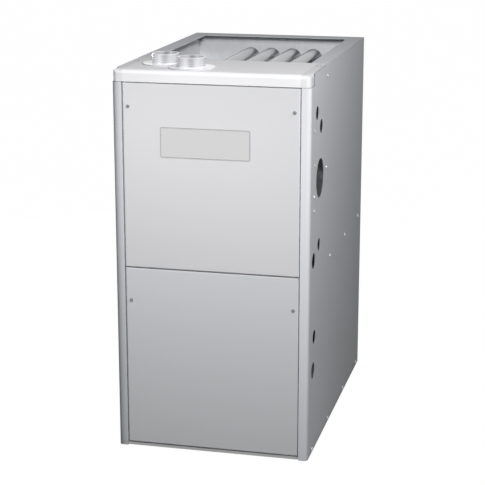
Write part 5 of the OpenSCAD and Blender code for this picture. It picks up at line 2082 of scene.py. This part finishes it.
@dataclass
class Controls(Assembly):
    """The control board with its components, the transformer, the door switch and the wire box.

    Attributes:
        corner: The board's lower left corner of its rear face.
        size: The board's width, thickness and height.
        margin: Distance of the stand-offs from the board's edges.
        first: Distance of the first relay and the first terminal from the board's left edge.
        relay_gap: Distance between relays.
        terminal_gap: Distance between terminals.
    """

    corner: Point = (-0.121, -0.2676, 0.2822)
    size: Point = (0.17, 0.0016, 0.112)
    margin: float = 0.012
    first: float = 0.026
    relay_gap: float = 0.028
    terminal_gap: float = 0.015

    def at(self, x: float, y: float, z: float) -> Point:
        """Returns a point given from the board's corner."""
        return (self.corner[0] + x, self.corner[1] + y, self.corner[2] + z)

    def block(self, name: str, low: Point, high: Point) -> Piece:
        """Adds a block between two corners given from the board's corner."""
        return Piece.block(name, self.at(*low), self.at(*high))

    def finishes(self) -> dict[str, Finish]:
        """Returns the finishes of what stays CAD."""
        return {
            "control_bracket": ZINC,
            "transformer": Drawn(shown(120, 122, 126), Grain.ACROSS, 0.42, 0.7),
            "door_switch": BLACK_PLASTIC,
            "door_switch_plunger": GREY_PLASTIC,
            "junction_box": Spangled(shown(190, 192, 195), 100.0),
        }

    def board(self) -> None:
        """Models the laminate with its rounded corners, and the stand-offs behind it."""
        sheet = self.block("board_sheet", (0.0, 0.0, 0.0), self.size).corners(0.003, 4)
        laminate = Laminate(shown(18, 92, 52), shown(40, 128, 78), shown(200, 200, 196))
        sheet.soften(0.0002, 1).deliver("board_laminate", laminate, ["control_board"])
        steps = [(0.0008, 0.003), (-0.0006, 0.0012), (0.0012, 0.001)]
        post = Piece.turned("board_posts", 0.003, 0.008, steps, 20)
        places = [
            Place(self.at(x, 0.0096, z), FORWARD)
            for x in (self.margin, self.size[0] - self.margin)
            for z in (self.margin, self.size[2] - self.margin)
        ]
        post.copied(places).deliver("grey_plastic", GREY_PLASTIC, ["control_board"])

    def relays(self) -> None:
        """Models the four relays with their moulded lids."""
        foot = self.size[2] - 0.034
        places = [Place(self.at(self.first + i * self.relay_gap, 0.0, foot)) for i in range(4)]
        relay = Piece.block("board_relays", (-0.01, -0.015, 0.0), (0.01, 0.0, 0.026))
        relay.panel(FORWARD, 0.001, 0.0005).panel(FORWARD, 0.003, -0.0006).soften(0.0006)
        finish = Moulded(shown(36, 38, 42), 0.36, 0.00006)
        relay.copied(places).deliver("black_plastic", finish, ["control_board"])

    def terminals(self) -> None:
        """Models the screw terminals along the board's foot, and its wide plug."""
        xs = [self.first + i * self.terminal_gap for i in range(5)]
        block = Piece.block("board_terminals", (-0.006, -0.009, 0.0), (0.006, 0.0, 0.012))
        block.panel(FORWARD, 0.0015, -0.002).panel(DOWN, 0.002, -0.002).soften(0.0004)
        block.copied([Place(self.at(x, 0.0, 0.006)) for x in xs])
        block.deliver("black_plastic", Moulded(shown(44, 96, 64), 0.42), ["control_board"])
        places = [Place(self.at(x, -0.007, 0.012), FORWARD, 27.0 * i) for i, x in enumerate(xs)]
        CrossScrew(0.0026, 0.0014, 0.0006).fit("board_terminal_screws", places, ["control_board"])
        plug = self.block("board_plug", (0.114, -0.012, 0.03), (0.158, 0.0, 0.042))
        plug.panel(FORWARD, 0.001, -0.0015).panel(UP, 0.003, 0.0008).soften(0.0004)
        finish = Moulded(shown(226, 224, 214), 0.4, 0.00006, 0.05)
        plug.deliver("grey_plastic", finish, ["control_board"])

    def chip(self) -> None:
        """Models the processor and its two rows of legs."""
        chip = self.block("board_chip", (0.02, -0.003, 0.04), (0.046, -0.001, 0.066))
        chip.panel(FORWARD, 0.001, 0.0008).soften(0.0002, 1)
        chip.deliver("black_plastic", Moulded(shown(30, 31, 33), 0.5), ["control_board"])
        leg = Piece.block("board_chip_legs", (-0.0004, -0.0016, -0.0008), (0.0004, 0.0016, 0.0008))
        with leg.editing(lambda middle, normal: normal.y < -0.9):
            bpy.ops.transform.translate(value=(0.0, 0.0, 0.0008))
        places = [
            Place(self.at(0.0225 + i * 0.003, -0.0014, 0.053 + side * 0.0136))
            for i in range(8)
            for side in SIDES
        ]
        leg.copied(places).deliver("zinc_plate", ZINC_SCREW, ["control_board"])

    def components(self) -> None:
        """Models the capacitors, the status lamp and the fuse."""
        steps = [(0.0004, 0.0004), (-0.0004, 0.01), (0.0006, 0.0004), (0.0005, -0.0003)]
        can = Piece.turned("board_capacitors", 0.005, 0.0008, steps, 28)
        can.copied([Place(self.at(0.064 + i * 0.016, 0.0, 0.052), FORWARD, 40.0 * i) for i in range(3)])
        can.deliver("black_plastic", Moulded(shown(34, 52, 96), 0.34), ["control_board"])
        steps = [(0.0003, 0.0008), (0.0006, 0.0005)]
        lamp = Piece.turned("board_status_lamp", 0.0019, 0.002, steps, 20).soften(0.0003)
        finish = Moulded(shown(206, 60, 44), 0.2, 0.00002)
        lamp.stand(Place(self.at(0.128, 0.0, 0.062), FORWARD))
        lamp.deliver("red_plastic", finish, ["control_board"])
        fuse = self.block("board_fuse", (0.13, -0.011, 0.01), (0.15, 0.0, 0.018))
        finish = Moulded(shown(150, 92, 160), 0.3, 0.00004)
        fuse.panel(FORWARD, 0.0015, -0.003).soften(0.0004)
        fuse.deliver("grey_plastic", finish, ["control_board"])

    def windings(self) -> None:
        """Models the taped windings that stand out of the transformer's core."""
        low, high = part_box("transformer")
        x, z = (low.x + high.x) / 2, (low.z + high.z) / 2
        near = (x - 0.0315, low.y + 0.0075, z - 0.0165)
        far = (x + 0.0315, high.y - 0.0095, z + 0.0165)
        wound = Piece.block("transformer_windings", near, far)
        wound.panel(LEFT, 0.003, 0.0015).panel(RIGHT, 0.003, 0.0015).soften(0.0022, 4)
        wound.deliver("grey_plastic", Moulded(shown(206, 176, 92), 0.34, 0.00005, 0.2))

    def model(self) -> None:
        """Models the small pieces."""
        self.board()
        self.relays()
        self.terminals()
        self.chip()
        self.components()
        self.windings()


@dataclass(frozen=True)
class Row:
    """A row of terminals where wires end.

    Attributes:
        at: Its middle.
        facing: The direction that the terminals face.
        gap: Distance between them.
        count: Number of terminals.
        way: The direction of the row.
        straight: How far a wire comes in square to its terminal.
    """

    at: Point
    facing: Point
    gap: float
    count: int = 2
    way: Point = RIGHT
    straight: float = 0.014

    def tips(self) -> list[Vector]:
        """Returns the terminals' places."""
        steps = (count - (self.count - 1) / 2 for count in range(self.count))
        return [Vector(self.at) + Vector(self.way) * self.gap * step for step in steps]

    def ends(self) -> list[list[Point]]:
        """Returns each wire's last two points."""
        return [[tuple(tip + Vector(self.facing) * self.straight), tuple(tip)] for tip in self.tips()]


@dataclass
class Harness(Assembly):
    """The fixed wiring between the board and what it works, tied to the cabinet.

    Attributes:
        wire: Radius of a wire's insulation.
        spread: Distance between neighbouring wires.
        pin: Place of the board plug's first pin.
        pins: Distance between pins.
        valve: The gas valve's terminals.
        pressure: The pressure switch's terminals.
        limit: The limit switch's terminals.
        laid: The wires laid so far, by colour.
    """

    wire: float = 0.0011
    spread: float = 0.0025
    pin: Point = (-0.002, -0.2735, 0.324)
    pins: float = 0.0034
    valve: Row = Row((0.1135, -0.3112, 0.808), UP, 0.009)
    pressure: Row = Row((0.093, -0.264, 0.5965), FORWARD, 0.012)
    limit: Row = Row((0.031, -0.182, 0.7171), FORWARD, 0.012)
    laid: dict[str, list[Piece]] = field(default_factory=dict)

    def beside(self, route: Sequence[Point], column: float, row: float) -> list[Point]:
        """Returns a bundle's route moved to one wire's place in it, square to its way.

        Args:
            route: The points that the bundle follows.
            column: The wire's place sideways, counted from the bundle's middle.
            row: Its place inwards.

        Returns:
            The points that the wire follows.
        """
        points = [Vector(point) for point in route]
        moved = []
        for count, point in enumerate(points):
            way = points[min(count + 1, len(points) - 1)] - points[max(count - 1, 0)]
            side = way.cross(Vector((0.35, -1.0, 0.25))).normalized()
            inward = way.cross(side).normalized()
            moved.append(tuple(point + (side * column + inward * row) * self.spread))
        return moved

    def plugged(self, first: int, count: int = 2) -> list[list[Point]]:
        """Returns the first two points of wires that leave the board's plug, from one pin on.

        Args:
            first: The first wire's pin.
            count: Number of wires.

        Returns:
            Each wire's points.
        """
        x, y, z = self.pin
        middle = (x + (first + (count - 1) / 2) * self.pins, y, z)
        return Row(middle, UP, self.pins, count).ends()

    def run(
        self,
        tints: str,
        starts: Sequence[Sequence[Point]],
        route: Sequence[Point],
        tips: Sequence[Sequence[Point]],
        column: float = -0.5,
        row: float = 0.0,
    ) -> None:
        """Lays wires side by side.

        Args:
            tints: The wires' colours, by name.
            starts: The points of each wire's last end but one and its end at the start.
            route: The points that the bundle follows.
            tips: The same two points where each wire ends.
            column: The first wire's place sideways in the bundle.
            row: The wires' place inwards.
        """
        for count, (tint, start, tip) in enumerate(zip(tints.split(), starts, tips)):
            points = [*reversed(start), *self.beside(route, column + count, row), *tip]
            wire = Piece.wire(f"harness_wires_{tint}", points, self.wire)
            self.laid.setdefault(tint, []).append(wire)

    def upper_runs(self) -> None:
        """Lays the runs that climb through the deck to the burner compartment."""
        rise = [
            (0.02, -0.283, 0.35), (0.034, -0.295, 0.385), (0.06, -0.298, 0.396),
            (0.08, -0.298, 0.396), (0.1, -0.298, 0.396), (0.119, -0.2965, 0.4),
            (0.12, -0.2956, 0.42), (0.12, -0.2956, 0.44),
        ]
        trunk = rise + [
            (0.122, -0.294, 0.462), (0.15, -0.28, 0.492), (0.184, -0.258, 0.515),
            (0.186, -0.256, 0.55), (0.186, -0.256, 0.62), (0.186, -0.256, 0.7),
        ]
        valve = [
            (0.186, -0.257, 0.77), (0.188, -0.262, 0.815), (0.176, -0.298, 0.83),
            (0.14, -0.319, 0.834), (0.118, -0.32, 0.834),
        ]
        rollout = [(0.187, -0.257, 0.775), (0.189, -0.262, 0.83), (0.178, -0.261, 0.855)]
        ignitor = [(0.186, -0.25, 0.745), (0.189, -0.225, 0.795), (0.187, -0.2, 0.826)]
        limit = [(0.18, -0.24, 0.718), (0.135, -0.215, 0.698), (0.06, -0.206, 0.698)]
        sensor = [
            (0.182, -0.243, 0.745), (0.158, -0.228, 0.778), (0.1, -0.224, 0.765),
            (0.02, -0.22, 0.758), (-0.06, -0.212, 0.764), (-0.108, -0.202, 0.784),
            (-0.125, -0.198, 0.815),
        ]
        pressure = [(0.119, -0.294, 0.47), (0.108, -0.288, 0.53), (0.094, -0.284, 0.575)]
        switch = Row((0.149, -0.2602, 0.8555), RIGHT, 0.0045, way=UP)
        element = Row((0.159, -0.197, 0.8327), RIGHT, 0.004, way=REAR)
        rod = Row((-0.1065, -0.197, 0.8327), LEFT, 0.0, 1)
        self.run("yellow blue", self.plugged(0), trunk + valve, self.valve.ends(), -1.5, -1.0)
        self.run("red red", self.plugged(2), trunk + rollout, switch.ends(), 0.5, -1.0)
        self.run("white white", self.plugged(4), trunk + ignitor, element.ends(), -1.5)
        self.run("black red", self.plugged(6), trunk + limit, self.limit.ends(), 0.5)
        self.run("white", self.plugged(8, 1), trunk + sensor, rod.ends(), 0.5, 1.0)
        self.run("orange orange", self.plugged(9), rise + pressure, self.pressure.ends(), -1.5, 1.0)

    def compartment_runs(self) -> None:
        """Lays the jumper between the rollout switches, and the inducer motor's run."""
        jumper = [
            (0.127, -0.262, 0.849), (0.108, -0.273, 0.8456), (0.03, -0.2735, 0.8455),
            (-0.046, -0.273, 0.8456), (-0.065, -0.262, 0.849),
        ]
        self.run("red", [[(0.1322, -0.2602, 0.853)]], jumper, [[(-0.0702, -0.2602, 0.853)]], 0.0)
        motor = [
            (-0.12, -0.286, 0.402), (-0.165, -0.293, 0.402), (-0.189, -0.2956, 0.406),
            (-0.19, -0.2956, 0.425), (-0.19, -0.2956, 0.445), (-0.186, -0.302, 0.49),
            (-0.155, -0.306, 0.53),
        ]
        relay = Row((-0.095, -0.275, 0.386), UP, 0.006)
        entry = Row((-0.1075, -0.305, 0.5715), (-0.76, 0.0, -0.65), 0.0026, way=FORWARD)
        self.run("white black", relay.ends(), motor, entry.ends())

    def lower_runs(self) -> None:
        """Lays the runs that stay in the blower compartment."""
        blower = [
            (-0.02, -0.285, 0.403), (0.06, -0.286, 0.403), (0.126, -0.284, 0.4),
            (0.158, -0.26, 0.384), (0.167, -0.185, 0.322), (0.171, -0.1, 0.254),
            (0.162, -0.036, 0.234),
        ]
        capacitor = [(0.16, 0.15, 0.395), (0.172, 0.105, 0.33), (0.166, 0.06, 0.262)]
        switch = [(0.15, -0.29, 0.39), (0.13, -0.29, 0.386), (0.112, -0.29, 0.374)]
        supply = [
            (0.192, -0.29, 0.268), (0.158, -0.293, 0.33), (0.134, -0.294, 0.378),
            (0.084, -0.293, 0.386),
        ]
        relays = Row((-0.039, -0.275, 0.386), UP, 0.006, 3)
        inlet = Row((0.131, -0.0143, 0.2397), RIGHT, 0.003, 3, UP)
        self.run("black blue red", relays.ends(), blower, inlet.ends(), -1.0)
        boot = Row((0.1425, 0.1774, 0.3925), UP, 0.004)
        inlet = Row((0.131, 0.0471, 0.2397), RIGHT, 0.003, way=UP)
        self.run("brown brown", boot.ends(), capacitor, inlet.ends())
        tapped = Row((0.064, -0.283, 0.33), LEFT, 0.006, way=UP)
        self.run("blue yellow", tapped.ends(), [(0.04, -0.287, 0.344)], self.plugged(11))
        plunger = Row((0.15, -0.306, 0.39), REAR, 0.006)
        wound = Row((0.1, -0.281, 0.343), UP, 0.01)
        self.run("black black", plunger.ends(), switch, wound.ends())
        box = Row((0.194, -0.288, 0.2335), UP, 0.003, 3)
        board = Row((0.0565, -0.265, 0.36), FORWARD, 0.003, 3)
        self.run("black white green", box.ends(), supply, board.ends(), -1.0)

    def ties(self) -> None:
        """Models the ties round the bundle."""
        tie = Piece.ring("harness_ties", 0.006, 0.007, 0.0024, 32)
        head = Piece.block("head", (-0.002, 0.0066, -0.0006), (0.002, 0.0096, 0.003))
        tie.joined([head.panel(UP, 0.0006, -0.0008)]).soften(0.0003)
        places = [Place((0.186, -0.256, z), UP, 200.0) for z in (0.575, 0.635, 0.69)]
        tie.copied([*places, Place((0.08, -0.298, 0.396), RIGHT, 90.0)])
        tie.deliver("grey_plastic", Moulded(shown(224, 224, 218), 0.36, 0.00004, 0.04))

    def sleeves(self) -> None:
        """Models the sleeves, each pushed over its terminal by its own distance."""
        rows = ((self.valve, 0.0102), (self.pressure, 0.0089), (self.limit, 0.0098))
        places = [
            Place(tuple(tip - Vector(row.facing) * pushed), row.facing)
            for row, pushed in rows
            for tip in row.tips()
        ]
        sleeve = Piece.block("harness_sleeves", (-0.0036, -0.0014, 0.0), (0.0036, 0.0014, 0.0105))
        sleeve.panel(UP, 0.0008, 0.0014).soften(0.0005).copied(places)
        sleeve.deliver("red_plastic", Moulded(shown(176, 52, 44), 0.3, 0.00004))

    def model(self) -> None:
        """Lays every run, joins the wires of one colour, and ties and sleeves them."""
        self.upper_runs()
        self.compartment_runs()
        self.lower_runs()
        for tint, wires in self.laid.items():
            finish = Moulded(WIRE_TINTS[tint], 0.42, 0.00003, 0.06)
            wires[0].joined(wires[1:]).deliver("black_rubber", finish, angle=60.0)
        self.ties()
        self.sleeves()


def main() -> None:
    """Builds the studio and the furnace, piece by piece."""
    logging.basicConfig(level=logging.INFO, format="%(name)s: %(message)s")
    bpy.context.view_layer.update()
    Studio().build()
    for part in (Cabinet, Doors, Stubs, Exchanger, Burners, Inducer, Blower, Controls, Harness):
        part().build()
        log.info("%s is done", part.__name__)


if __name__ == "__main__":
    main()
